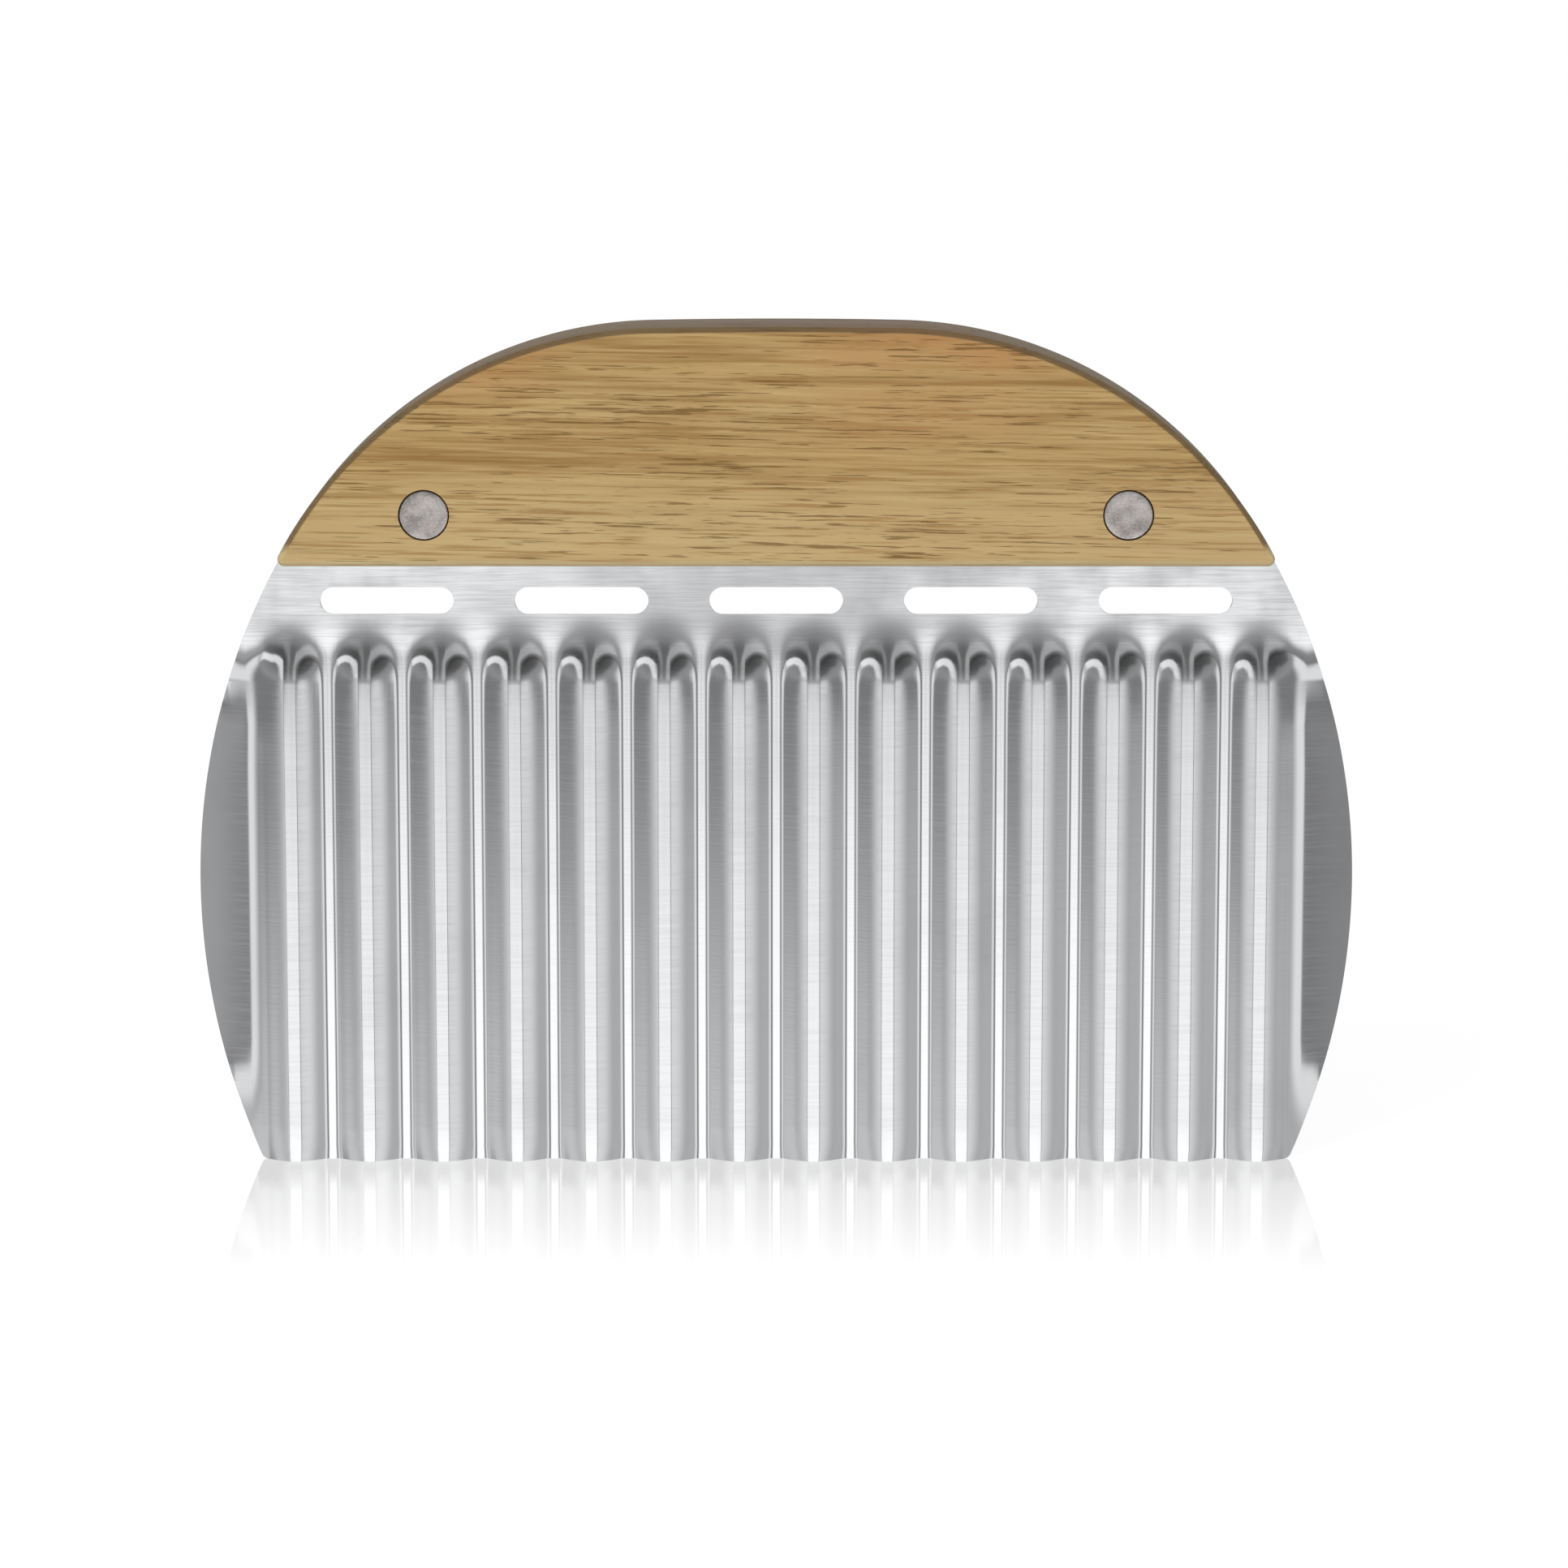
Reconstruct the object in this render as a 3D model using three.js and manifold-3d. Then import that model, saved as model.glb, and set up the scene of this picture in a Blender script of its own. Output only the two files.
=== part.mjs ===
// Crinkle cutter: a corrugated steel blade whose tang sits in a slot in the
// underside of a half-moon wooden handle, held there by two flush two-piece rivets.
// Millimetres, +Z up, +X to the right. The front faces -Y, and the origin is the
// middle of the cutting edge.
import * as THREE from "three";
import { mergeVertices } from "three/addons/utils/BufferGeometryUtils.js";
import Module from "manifold-3d";

// Blade sheet and outline
const BLADE_WIDTH = 149.5; // across the widest part of the side arcs
const BLADE_SHOWING = 78.5; // from the cutting edge to the underside of the handle
const BLADE_WIDEST_HEIGHT = 36.3; // height of the widest part above the cutting edge
const BLADE_SIDE_RADIUS = 87;
const BLADE_CORNER_RADIUS = 1;
const SHEET_THICKNESS = 0.8;
const EDGE_THICKNESS = 0.25; // of the ground cutting edge
const EDGE_BEVEL_HEIGHT = 1.8;

// Waves pressed forwards out of the flat sheet, and plain wings beside them
const WAVE_COUNT = 14;
const WAVE_PITCH = 9.62;
const WAVE_DEPTH = 2.1; // from the valleys, level with the flat sheet, to the ridges in front
const WAVE_BEND_RADIUS = 3; // at the middle of the sheet
const WAVE_FADE_HEIGHT = 5.7; // over which the waves run out into the flat band
const FLAT_BAND_HEIGHT = 9.6; // from the underside of the handle to the ends of the waves
const WING_TILT = THREE.MathUtils.degToRad(15); // the wings lean back
const WING_BEND_RADIUS = 10; // between the outermost wave and a wing
const WING_FLANK_SHARE = 0.4; // of the outermost straight flank, before the bend to the wing

// Slots in the flat band
const SLOT_COUNT = 5;
const SLOT_PITCH = 25;
const SLOT_LENGTH = 17.2;
const SLOT_HEIGHT = 3.5;
const SLOT_DROP = 5.2; // from the underside of the handle to the middle of a slot

// Handle
const HANDLE_WIDTH = 128.1; // across the lower corners, before they are rounded
const HANDLE_HEIGHT = 30.5;
const HANDLE_THICKNESS = 15;
const HANDLE_TOP_RADIUS = 800;
const HANDLE_SHOULDER_RADIUS = 55;
const HANDLE_EDGE_ROUNDING = 1.2;
const HANDLE_FACE_CORNER_RADIUS = 0.2; // of the flat faces, inside the rounded edge

// Tang and rivets
const TANG_HEIGHT = 15;
const TANG_INSET = 4; // from the handle's outline to the tang
const RIVET_INSET = 19.3; // from the handle's lower corner to a rivet's axis
const RIVET_RISE = 6.6; // from the underside of the handle to a rivet's axis
const RIVET_HEAD_DIAMETER = 6.3;
const RIVET_HEAD_THICKNESS = 1.4;
const RIVET_HEAD_CHAMFER = 0.15;
const RIVET_RECESS = 0.1; // of a head below the face of the handle
const RIVET_POST_DIAMETER = 4.4;
const RIVET_PIN_DIAMETER = 2.4;
const RIVET_BORE_FLOOR = 1; // solid metal between the post's head and its bore

// Clearances between pieces that touch
const TANG_CLEARANCE = 0.2;
const RIVET_CLEARANCE = 0.2;

// Mesh fineness
const BEND_STEPS = 4;
const FADE_STEPS = 4;
const SIDE_ARC_STEPS = 24;
const HANDLE_ARC_STEPS = 16;
const CORNER_STEPS = 4;
const ROUND_STEPS = 32;
const ROUNDING_STEPS = 2;
const CUT_MARGIN = 0.5; // by which a cutter overshoots what it cuts

const handleTop = BLADE_SHOWING + HANDLE_HEIGHT;
const handleCornerRadius = HANDLE_FACE_CORNER_RADIUS + HANDLE_EDGE_ROUNDING;
const tangTop = BLADE_SHOWING + TANG_HEIGHT;
const waveTop = BLADE_SHOWING - FLAT_BAND_HEIGHT;
const rivetX = HANDLE_WIDTH / 2 - RIVET_INSET;
const rivetZ = BLADE_SHOWING + RIVET_RISE;
const postHoleRadius = RIVET_POST_DIAMETER / 2 + RIVET_CLEARANCE;

const wasm = await Module();
wasm.setup();

/** A closed geometry as a solid that can be cut. */
function toSolid(geometry) {
  const bare = geometry.clone();
  bare.deleteAttribute("normal");
  bare.deleteAttribute("uv");
  const merged = mergeVertices(bare, 1e-5);
  const mesh = new wasm.Mesh({
    numProp: 3,
    vertProperties: new Float32Array(merged.attributes.position.array),
    triVerts: new Uint32Array(merged.index.array),
  });
  return new wasm.Manifold(mesh);
}

/** A cut solid as a geometry. */
function toGeometry(solid) {
  const mesh = solid.getMesh();
  const geometry = new THREE.BufferGeometry();
  geometry.setAttribute("position", new THREE.BufferAttribute(mesh.vertProperties, 3));
  geometry.setIndex(new THREE.BufferAttribute(mesh.triVerts, 1));
  geometry.computeVertexNormals();
  return geometry;
}

/** An upright slab: a shape drawn in X and Z, spread evenly about the plane Y = 0. */
function slab(shape, thickness, curveSegments, rounding = 0) {
  const geometry = new THREE.ExtrudeGeometry(shape, {
    depth: thickness - 2 * rounding,
    curveSegments,
    bevelEnabled: rounding > 0,
    bevelSize: rounding,
    bevelThickness: rounding,
    bevelOffset: -rounding,
    bevelSegments: ROUNDING_STEPS,
  });
  geometry.rotateX(Math.PI / 2);
  geometry.translate(0, thickness / 2 - rounding, 0);
  return geometry;
}

/** A solid of revolution about a front-to-back axis, from [radius, y] points. */
function turned(profile, x, z) {
  const points = profile.map(([radius, y]) => new THREE.Vector2(radius, y));
  const geometry = new THREE.LatheGeometry(points, ROUND_STEPS);
  geometry.translate(x, 0, z);
  return geometry;
}

/** Points along an arc, both ends included. */
function arcPoints(centre, radius, from, to, steps) {
  const points = [];
  for (let i = 0; i <= steps; i += 1) {
    const angle = THREE.MathUtils.lerp(from, to, i / steps);
    points.push(new THREE.Vector2(
      centre.x + radius * Math.cos(angle),
      centre.y + radius * Math.sin(angle),
    ));
  }
  return points;
}

/** The arc that rounds the corner between two straight runs, from the first to the second. */
function roundedCorner(before, corner, after, radius) {
  const toBefore = before.clone().sub(corner).normalize();
  const toAfter = after.clone().sub(corner).normalize();
  const halfAngle = Math.acos(THREE.MathUtils.clamp(toBefore.dot(toAfter), -1, 1)) / 2;
  const bisector = toBefore.clone().add(toAfter).normalize();
  const centre = corner.clone().addScaledVector(bisector, radius / Math.sin(halfAngle));
  const start = corner.clone().addScaledVector(toBefore, radius / Math.tan(halfAngle));
  const end = corner.clone().addScaledVector(toAfter, radius / Math.tan(halfAngle));
  const from = start.sub(centre).angle();
  let to = end.sub(centre).angle();
  if (to - from > Math.PI) to -= 2 * Math.PI;
  if (from - to > Math.PI) to += 2 * Math.PI;
  return arcPoints(centre, radius, from, to, CORNER_STEPS);
}

/** The right half of an outline and its mirror image, as one closed shape. */
function mirroredShape(rightHalf) {
  const leftHalf = rightHalf.map((p) => new THREE.Vector2(-p.x, p.y)).reverse();
  const points = [...rightHalf, ...leftHalf];
  const distinct = points.filter((p, i) => p.distanceTo(points.at(i - 1)) > 1e-6);
  return new THREE.Shape(distinct);
}

/** Half the blade's width at a height, on its side arc. */
function bladeHalfWidth(height) {
  const offset = height - BLADE_WIDEST_HEIGHT;
  const arcX = Math.sqrt(BLADE_SIDE_RADIUS ** 2 - offset ** 2);
  return BLADE_WIDTH / 2 - BLADE_SIDE_RADIUS + arcX;
}

/** The centre of the handle's right shoulder arc: tangent to the top arc, through the corner. */
function shoulderCentre() {
  const topCentre = new THREE.Vector2(0, handleTop - HANDLE_TOP_RADIUS);
  const corner = new THREE.Vector2(HANDLE_WIDTH / 2, BLADE_SHOWING);
  const fromTop = HANDLE_TOP_RADIUS - HANDLE_SHOULDER_RADIUS;
  const line = corner.clone().sub(topCentre);
  const distance = line.length();
  const along = (distance ** 2 + fromTop ** 2 - HANDLE_SHOULDER_RADIUS ** 2) / (2 * distance);
  const aside = Math.sqrt(fromTop ** 2 - along ** 2);
  const direction = line.normalize();
  const leftOfLine = new THREE.Vector2(-direction.y, direction.x);
  return topCentre.addScaledVector(direction, along).addScaledVector(leftOfLine, aside);
}

/** Half the handle's width at a height above its underside, on its shoulder arc. */
function handleHalfWidth(rise) {
  const centre = shoulderCentre();
  const offset = BLADE_SHOWING + rise - centre.y;
  return centre.x + Math.sqrt(HANDLE_SHOULDER_RADIUS ** 2 - offset ** 2);
}

/** The right half of the tang's outline, from its root up, grown by a clearance. */
function tangHalf(rootZ, clearance) {
  const rootX = Math.min(handleHalfWidth(0) - TANG_INSET, bladeHalfWidth(BLADE_SHOWING));
  const topX = Math.min(handleHalfWidth(TANG_HEIGHT) - TANG_INSET, rootX);
  return [
    new THREE.Vector2(rootX + clearance, rootZ),
    new THREE.Vector2(topX + clearance, tangTop + clearance),
  ];
}

/** The blade's outline with its slots and rivet holes. */
function bladeShape() {
  const corner = new THREE.Vector2(bladeHalfWidth(0), 0);
  const beside = new THREE.Vector2(bladeHalfWidth(2 * BLADE_CORNER_RADIUS), 2 * BLADE_CORNER_RADIUS);
  const rightHalf = roundedCorner(new THREE.Vector2(0, 0), corner, beside, BLADE_CORNER_RADIUS);
  const shoulder = BLADE_SHOWING - TANG_CLEARANCE;
  const sideCentre = new THREE.Vector2(BLADE_WIDTH / 2 - BLADE_SIDE_RADIUS, BLADE_WIDEST_HEIGHT);
  const from = Math.asin((beside.y - sideCentre.y) / BLADE_SIDE_RADIUS);
  const to = Math.asin((shoulder - sideCentre.y) / BLADE_SIDE_RADIUS);
  rightHalf.push(...arcPoints(sideCentre, BLADE_SIDE_RADIUS, from, to, SIDE_ARC_STEPS));
  rightHalf.push(...tangHalf(shoulder, 0));
  const shape = mirroredShape(rightHalf);

  const slotZ = BLADE_SHOWING - SLOT_DROP;
  const straight = (SLOT_LENGTH - SLOT_HEIGHT) / 2;
  for (let i = 0; i < SLOT_COUNT; i += 1) {
    const slotX = (i - (SLOT_COUNT - 1) / 2) * SLOT_PITCH;
    const slot = new THREE.Path();
    slot.absarc(slotX + straight, slotZ, SLOT_HEIGHT / 2, -Math.PI / 2, Math.PI / 2, false);
    slot.absarc(slotX - straight, slotZ, SLOT_HEIGHT / 2, Math.PI / 2, 1.5 * Math.PI, false);
    shape.holes.push(slot);
  }
  for (const side of [-1, 1]) {
    shape.holes.push(new THREE.Path().absarc(side * rivetX, rivetZ, postHoleRadius, 0, 2 * Math.PI));
  }
  return shape;
}

/** The sheet's section across the waves: points with x, height towards the front, and slope. */
function waveSection() {
  const half = WAVE_PITCH / 2;
  const tightest = (half ** 2 + WAVE_DEPTH ** 2) / (4 * WAVE_DEPTH);
  const radius = Math.min(WAVE_BEND_RADIUS, tightest);
  const fall = WAVE_DEPTH - 2 * radius;
  const run = Math.sqrt(Math.max(half ** 2 + fall ** 2 - 4 * radius ** 2, 0));
  const flank = Math.atan2(fall, half) + Math.atan2(2 * radius, run);
  const firstValley = (-WAVE_COUNT * WAVE_PITCH) / 2;

  const section = [];
  const valley = (x) => {
    for (let i = 0; i <= BEND_STEPS; i += 1) {
      const slope = THREE.MathUtils.lerp(-flank, flank, i / BEND_STEPS);
      const height = radius * (1 - Math.cos(slope));
      section.push({ x: x + radius * Math.sin(slope), height, slope });
    }
  };
  const ridge = (x) => {
    for (let i = 0; i <= BEND_STEPS; i += 1) {
      const slope = THREE.MathUtils.lerp(flank, -flank, i / BEND_STEPS);
      const height = WAVE_DEPTH - radius * (1 - Math.cos(slope));
      section.push({ x: x - radius * Math.sin(slope), height, slope });
    }
  };
  const wing = (side) => {
    const tilt = Math.min(WING_TILT, flank);
    const straight = half - 2 * radius * Math.sin(flank);
    const early = (1 - WING_FLANK_SHARE) * straight;
    const bendX = -firstValley - radius * Math.sin(flank) - early;
    const bendHeight = radius * (1 - Math.cos(flank)) + early * Math.tan(flank);
    const points = [];
    for (let i = 0; i <= BEND_STEPS; i += 1) {
      const slope = THREE.MathUtils.lerp(flank, tilt, i / BEND_STEPS);
      points.push({
        x: bendX + WING_BEND_RADIUS * (Math.sin(flank) - Math.sin(slope)),
        height: bendHeight - WING_BEND_RADIUS * (Math.cos(slope) - Math.cos(flank)),
        slope,
      });
    }
    const root = points.at(-1);
    const width = Math.max(BLADE_WIDTH / 2 - root.x, 0) + WAVE_PITCH / 2;
    points.push({ x: root.x + width, height: root.height - width * Math.tan(tilt), slope: tilt });
    return points.map(({ x, height, slope }) => ({ x: side * x, height, slope: -side * slope }));
  };

  section.push(...wing(-1).reverse());
  for (let i = 0; i < WAVE_COUNT; i += 1) {
    if (i > 0) valley(firstValley + i * WAVE_PITCH);
    ridge(firstValley + (i + 0.5) * WAVE_PITCH);
  }
  section.push(...wing(1));
  return section;
}

/** The rows of the sheet from the edge up: height, how deep the waves are there, and thickness. */
function sheetRows() {
  const grind = (SHEET_THICKNESS - EDGE_THICKNESS) / EDGE_BEVEL_HEIGHT;
  const below = Math.min(CUT_MARGIN, EDGE_THICKNESS / grind / 2);
  const rows = [
    { z: -below, fade: 1, steepness: 0, thickness: EDGE_THICKNESS - below * grind },
    { z: EDGE_BEVEL_HEIGHT, fade: 1, steepness: 0, thickness: SHEET_THICKNESS },
  ];
  for (let i = 0; i <= FADE_STEPS; i += 1) {
    const left = 1 - i / FADE_STEPS;
    rows.push({
      z: waveTop - left * WAVE_FADE_HEIGHT,
      fade: left * left * (3 - 2 * left),
      steepness: (-6 * left * (1 - left)) / WAVE_FADE_HEIGHT,
      thickness: SHEET_THICKNESS,
    });
  }
  rows.push({ z: tangTop + CUT_MARGIN, fade: 0, steepness: 0, thickness: SHEET_THICKNESS });
  return rows;
}

/** The corrugated sheet before it is cut to its outline. */
function sheetGeometry() {
  const section = waveSection();
  const rows = sheetRows();
  const positions = [];
  for (const side of [-1, 1]) {
    for (const row of rows) {
      for (const point of section) {
        const across = -Math.tan(point.slope) * row.fade;
        const upward = -point.height * row.steepness;
        const normal = new THREE.Vector3(-across, 1, -upward).normalize();
        const middle = new THREE.Vector3(point.x, -point.height * row.fade, row.z);
        const surface = middle.addScaledVector(normal, (side * row.thickness) / 2);
        positions.push(surface.x, surface.y, surface.z);
      }
    }
  }

  const columns = section.length;
  const front = (row, column) => row * columns + column;
  const back = (row, column) => (rows.length + row) * columns + column;
  const triangles = [];
  const quad = (a, b, c, d) => triangles.push(a, b, c, a, c, d);
  const top = rows.length - 1;
  const right = columns - 1;
  for (let r = 0; r < top; r += 1) {
    for (let c = 0; c < right; c += 1) {
      quad(front(r, c), front(r, c + 1), front(r + 1, c + 1), front(r + 1, c));
      quad(back(r, c), back(r + 1, c), back(r + 1, c + 1), back(r, c + 1));
    }
    quad(front(r, 0), front(r + 1, 0), back(r + 1, 0), back(r, 0));
    quad(front(r, right), back(r, right), back(r + 1, right), front(r + 1, right));
  }
  for (let c = 0; c < right; c += 1) {
    quad(front(0, c), back(0, c), back(0, c + 1), front(0, c + 1));
    quad(front(top, c), front(top, c + 1), back(top, c + 1), back(top, c));
  }
  const geometry = new THREE.BufferGeometry();
  geometry.setAttribute("position", new THREE.Float32BufferAttribute(positions, 3));
  geometry.setIndex(triangles);
  return geometry;
}

function bladeGeometry() {
  const outline = toSolid(slab(bladeShape(), HANDLE_THICKNESS, ROUND_STEPS / 2));
  return toGeometry(toSolid(sheetGeometry()).intersect(outline));
}

/** The handle's half-moon outline. */
function handleShape() {
  const shoulder = shoulderCentre();
  const topCentre = new THREE.Vector2(0, handleTop - HANDLE_TOP_RADIUS);
  const tangent = shoulder.clone().sub(topCentre).angle();
  const corner = new THREE.Vector2(HANDLE_WIDTH / 2, BLADE_SHOWING);
  const besideRise = 2 * handleCornerRadius;
  const beside = new THREE.Vector2(handleHalfWidth(besideRise), BLADE_SHOWING + besideRise);
  const underside = new THREE.Vector2(0, BLADE_SHOWING);
  const rightHalf = roundedCorner(underside, corner, beside, handleCornerRadius);
  const from = beside.clone().sub(shoulder).angle();
  const start = from > Math.PI ? from - 2 * Math.PI : from;
  rightHalf.push(...arcPoints(shoulder, HANDLE_SHOULDER_RADIUS, start, tangent, HANDLE_ARC_STEPS));
  const half = HANDLE_ARC_STEPS / 4;
  rightHalf.push(...arcPoints(topCentre, HANDLE_TOP_RADIUS, tangent, Math.PI / 2, half).slice(1));
  return mirroredShape(rightHalf);
}

function handleGeometry() {
  const board = slab(handleShape(), HANDLE_THICKNESS, HANDLE_ARC_STEPS, HANDLE_EDGE_ROUNDING);
  const slotRoot = BLADE_SHOWING - CUT_MARGIN;
  const slotShape = mirroredShape(tangHalf(slotRoot, TANG_CLEARANCE));
  const tangSlot = slab(slotShape, SHEET_THICKNESS + 2 * TANG_CLEARANCE, HANDLE_ARC_STEPS);
  const face = HANDLE_THICKNESS / 2 + CUT_MARGIN;
  const floor = HANDLE_THICKNESS / 2 - RIVET_RECESS - RIVET_HEAD_THICKNESS - RIVET_CLEARANCE;
  const headRadius = RIVET_HEAD_DIAMETER / 2 + RIVET_CLEARANCE;
  const rivetHole = [
    [0, -face],
    [headRadius, -face],
    [headRadius, -floor],
    [postHoleRadius, -floor],
    [postHoleRadius, floor],
    [headRadius, floor],
    [headRadius, face],
    [0, face],
  ];
  let solid = toSolid(board).subtract(toSolid(tangSlot));
  for (const side of [-1, 1]) {
    solid = solid.subtract(toSolid(turned(rivetHole, side * rivetX, rivetZ)));
  }
  return toGeometry(solid);
}

const rivetFace = HANDLE_THICKNESS / 2 - RIVET_RECESS;
const rivetSeat = rivetFace - RIVET_HEAD_THICKNESS;
const boreFloor = -rivetSeat + RIVET_BORE_FLOOR;

/** The front half of a rivet: a flush head with a hollow post. */
function rivetPostGeometry(x) {
  const headRadius = RIVET_HEAD_DIAMETER / 2;
  const postRadius = RIVET_POST_DIAMETER / 2;
  const boreRadius = RIVET_PIN_DIAMETER / 2 + RIVET_CLEARANCE;
  const postEnd = rivetSeat - RIVET_CLEARANCE;
  return turned([
    [0, -rivetFace],
    [headRadius - RIVET_HEAD_CHAMFER, -rivetFace],
    [headRadius, -rivetFace + RIVET_HEAD_CHAMFER],
    [headRadius, -rivetSeat],
    [postRadius, -rivetSeat],
    [postRadius, postEnd],
    [boreRadius, postEnd],
    [boreRadius, boreFloor],
    [0, boreFloor],
  ], x, rivetZ);
}

/** The rear half of a rivet: a flush head with a pin that goes into the post. */
function rivetPinGeometry(x) {
  const headRadius = RIVET_HEAD_DIAMETER / 2;
  const pinRadius = RIVET_PIN_DIAMETER / 2;
  const pinEnd = boreFloor + RIVET_CLEARANCE;
  return turned([
    [0, pinEnd],
    [pinRadius, pinEnd],
    [pinRadius, rivetSeat],
    [headRadius, rivetSeat],
    [headRadius, rivetFace - RIVET_HEAD_CHAMFER],
    [headRadius - RIVET_HEAD_CHAMFER, rivetFace],
    [0, rivetFace],
  ], x, rivetZ);
}

const steel = { color: 0xc6c8ca, roughness: 0.3, metalness: 1 };
const wood = { color: 0xbe9b69, roughness: 0.6, metalness: 0 };
const rivetMetal = { color: 0xb4aaa2, roughness: 0.45, metalness: 1 };

const crinkleCutter = new THREE.Group();

/** Adds one named piece with a material of its own. */
function addPiece(name, geometry, finish) {
  const mesh = new THREE.Mesh(geometry, new THREE.MeshStandardMaterial(finish));
  mesh.name = name;
  crinkleCutter.add(mesh);
}

addPiece("blade", bladeGeometry(), steel);
addPiece("handle", handleGeometry(), wood);
for (const [side, x] of [["left", -rivetX], ["right", rivetX]]) {
  addPiece(`${side}_rivet_post`, rivetPostGeometry(x), rivetMetal);
  addPiece(`${side}_rivet_pin`, rivetPinGeometry(x), rivetMetal);
}

export default crinkleCutter;
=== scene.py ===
"""Looks of the crinkle cutter: a fine blade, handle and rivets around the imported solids.

Sizes are in millimetres in the classes and in metres on the Blender objects. The cutter
stands on its edge at Z = 0, its front faces -Y and +X is to the right.
"""

import logging
import math
from dataclasses import dataclass
from enum import Enum
from typing import Callable, Sequence, Union

import bpy
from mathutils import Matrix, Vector


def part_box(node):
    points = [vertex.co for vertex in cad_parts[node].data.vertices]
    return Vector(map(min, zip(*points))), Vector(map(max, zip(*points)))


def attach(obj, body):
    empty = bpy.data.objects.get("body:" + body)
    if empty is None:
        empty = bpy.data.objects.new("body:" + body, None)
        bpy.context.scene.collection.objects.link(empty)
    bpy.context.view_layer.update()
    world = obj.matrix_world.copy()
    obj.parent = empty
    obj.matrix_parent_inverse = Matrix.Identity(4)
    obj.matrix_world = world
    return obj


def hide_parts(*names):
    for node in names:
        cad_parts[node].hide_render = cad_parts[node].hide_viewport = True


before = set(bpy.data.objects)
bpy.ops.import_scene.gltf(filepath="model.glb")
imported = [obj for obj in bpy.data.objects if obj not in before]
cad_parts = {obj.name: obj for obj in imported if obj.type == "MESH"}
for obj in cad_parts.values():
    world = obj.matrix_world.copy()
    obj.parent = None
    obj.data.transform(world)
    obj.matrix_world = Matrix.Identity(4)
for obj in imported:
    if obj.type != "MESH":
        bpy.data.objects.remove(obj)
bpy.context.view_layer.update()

MM = 0.001
BODY = "root"
LOG = logging.getLogger("crinkle_cutter")

NOISE_MIDDLE = 0.5

Point2 = tuple[float, float]
Point3 = tuple[float, float, float]
Span = tuple[float, float, float, float]
Colour = tuple[float, float, float, float]


def srgb(red: int, green: int, blue: int) -> Colour:
    """Turns a colour as a screen shows it into the linear colour that shaders take.

    Args:
        red: Red, 0 to 255.
        green: Green, 0 to 255.
        blue: Blue, 0 to 255.

    Returns:
        The linear colour with full alpha.
    """
    def linear(level: int) -> float:
        """Gives the linear value of one channel."""
        share = level / 255
        return share / 12.92 if share <= 0.04045 else ((share + 0.055) / 1.055) ** 2.4

    return (linear(red), linear(green), linear(blue), 1.0)


def grey(level: float) -> Colour:
    """Gives a grey of a linear level."""
    return (level, level, level, 1.0)


def arc(centre: Point2, radius: float, start: float, end: float, steps: int) -> list[Point2]:
    """Gives points along an arc, both ends included.

    Args:
        centre: Centre of the arc.
        radius: Radius of the arc.
        start: First angle in radians.
        end: Last angle in radians.
        steps: Number of chords.

    Returns:
        The points in order.
    """
    points = []
    for i in range(steps + 1):
        angle = start + (end - start) * i / steps
        points.append((centre[0] + radius * math.cos(angle), centre[1] + radius * math.sin(angle)))
    return points


def rounded_corner(before: Point2, corner: Point2, after: Point2, radius: float,
                   steps: int) -> list[Point2]:
    """Gives the arc that rounds a corner between two straight runs.

    Args:
        before: A point on the run that comes in.
        corner: The sharp corner.
        after: A point on the run that goes out.
        radius: Radius of the rounding.
        steps: Number of chords.

    Returns:
        The points from the first run to the second.
    """
    here = Vector(corner)
    back = (Vector(before) - here).normalized()
    ahead = (Vector(after) - here).normalized()
    half_angle = back.angle(ahead) / 2
    centre = here + (back + ahead).normalized() * radius / math.sin(half_angle)
    first = here + back * radius / math.tan(half_angle) - centre
    last = here + ahead * radius / math.tan(half_angle) - centre
    start = math.atan2(first.y, first.x)
    sweep = (math.atan2(last.y, last.x) - start + math.pi) % (2 * math.pi) - math.pi
    return arc((centre.x, centre.y), radius, start, start + sweep, steps)


def bend(start: Point2, slopes: Point2, radius: float, steps: int) -> list[Point2]:
    """Gives points along a bend of a section, from one slope to another.

    Args:
        start: Point where the bend begins, which is left out.
        slopes: Slope at the start and at the end, in radians.
        radius: Radius of the bend.
        steps: Number of chords.

    Returns:
        The points in order, further across and further back.
    """
    first, last = slopes
    points = []
    for i in range(1, steps + 1):
        slope = first + (last - first) * i / steps
        points.append((start[0] + radius * abs(math.sin(slope) - math.sin(first)),
                       start[1] + radius * abs(math.cos(slope) - math.cos(first))))
    return points


def smooth(value: float, low: float, high: float) -> float:
    """Rises smoothly from 0 to 1 between two levels."""
    share = min(max((value - low) / (high - low), 0), 1)
    return share * share * (3 - 2 * share)


def mirrored(right_half: Sequence[Point2]) -> list[Point2]:
    """Closes the right half of an outline with its mirror image.

    Args:
        right_half: Points from the bottom up, right of the middle line.

    Returns:
        The whole outline, without repeated points.
    """
    outline = [*right_half, *((-x, z) for x, z in reversed(right_half))]
    return [p for i, p in enumerate(outline) if math.dist(p, outline[i - 1]) > 1e-6]


class Cut(Enum):
    """What a cutter does to the piece that it meets."""

    KEEP_INSIDE = "INTERSECT"
    TAKE_AWAY = "DIFFERENCE"


class Side(Enum):
    """The two ends of the handle, by the sign of X."""

    LEFT = -1
    RIGHT = 1


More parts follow.
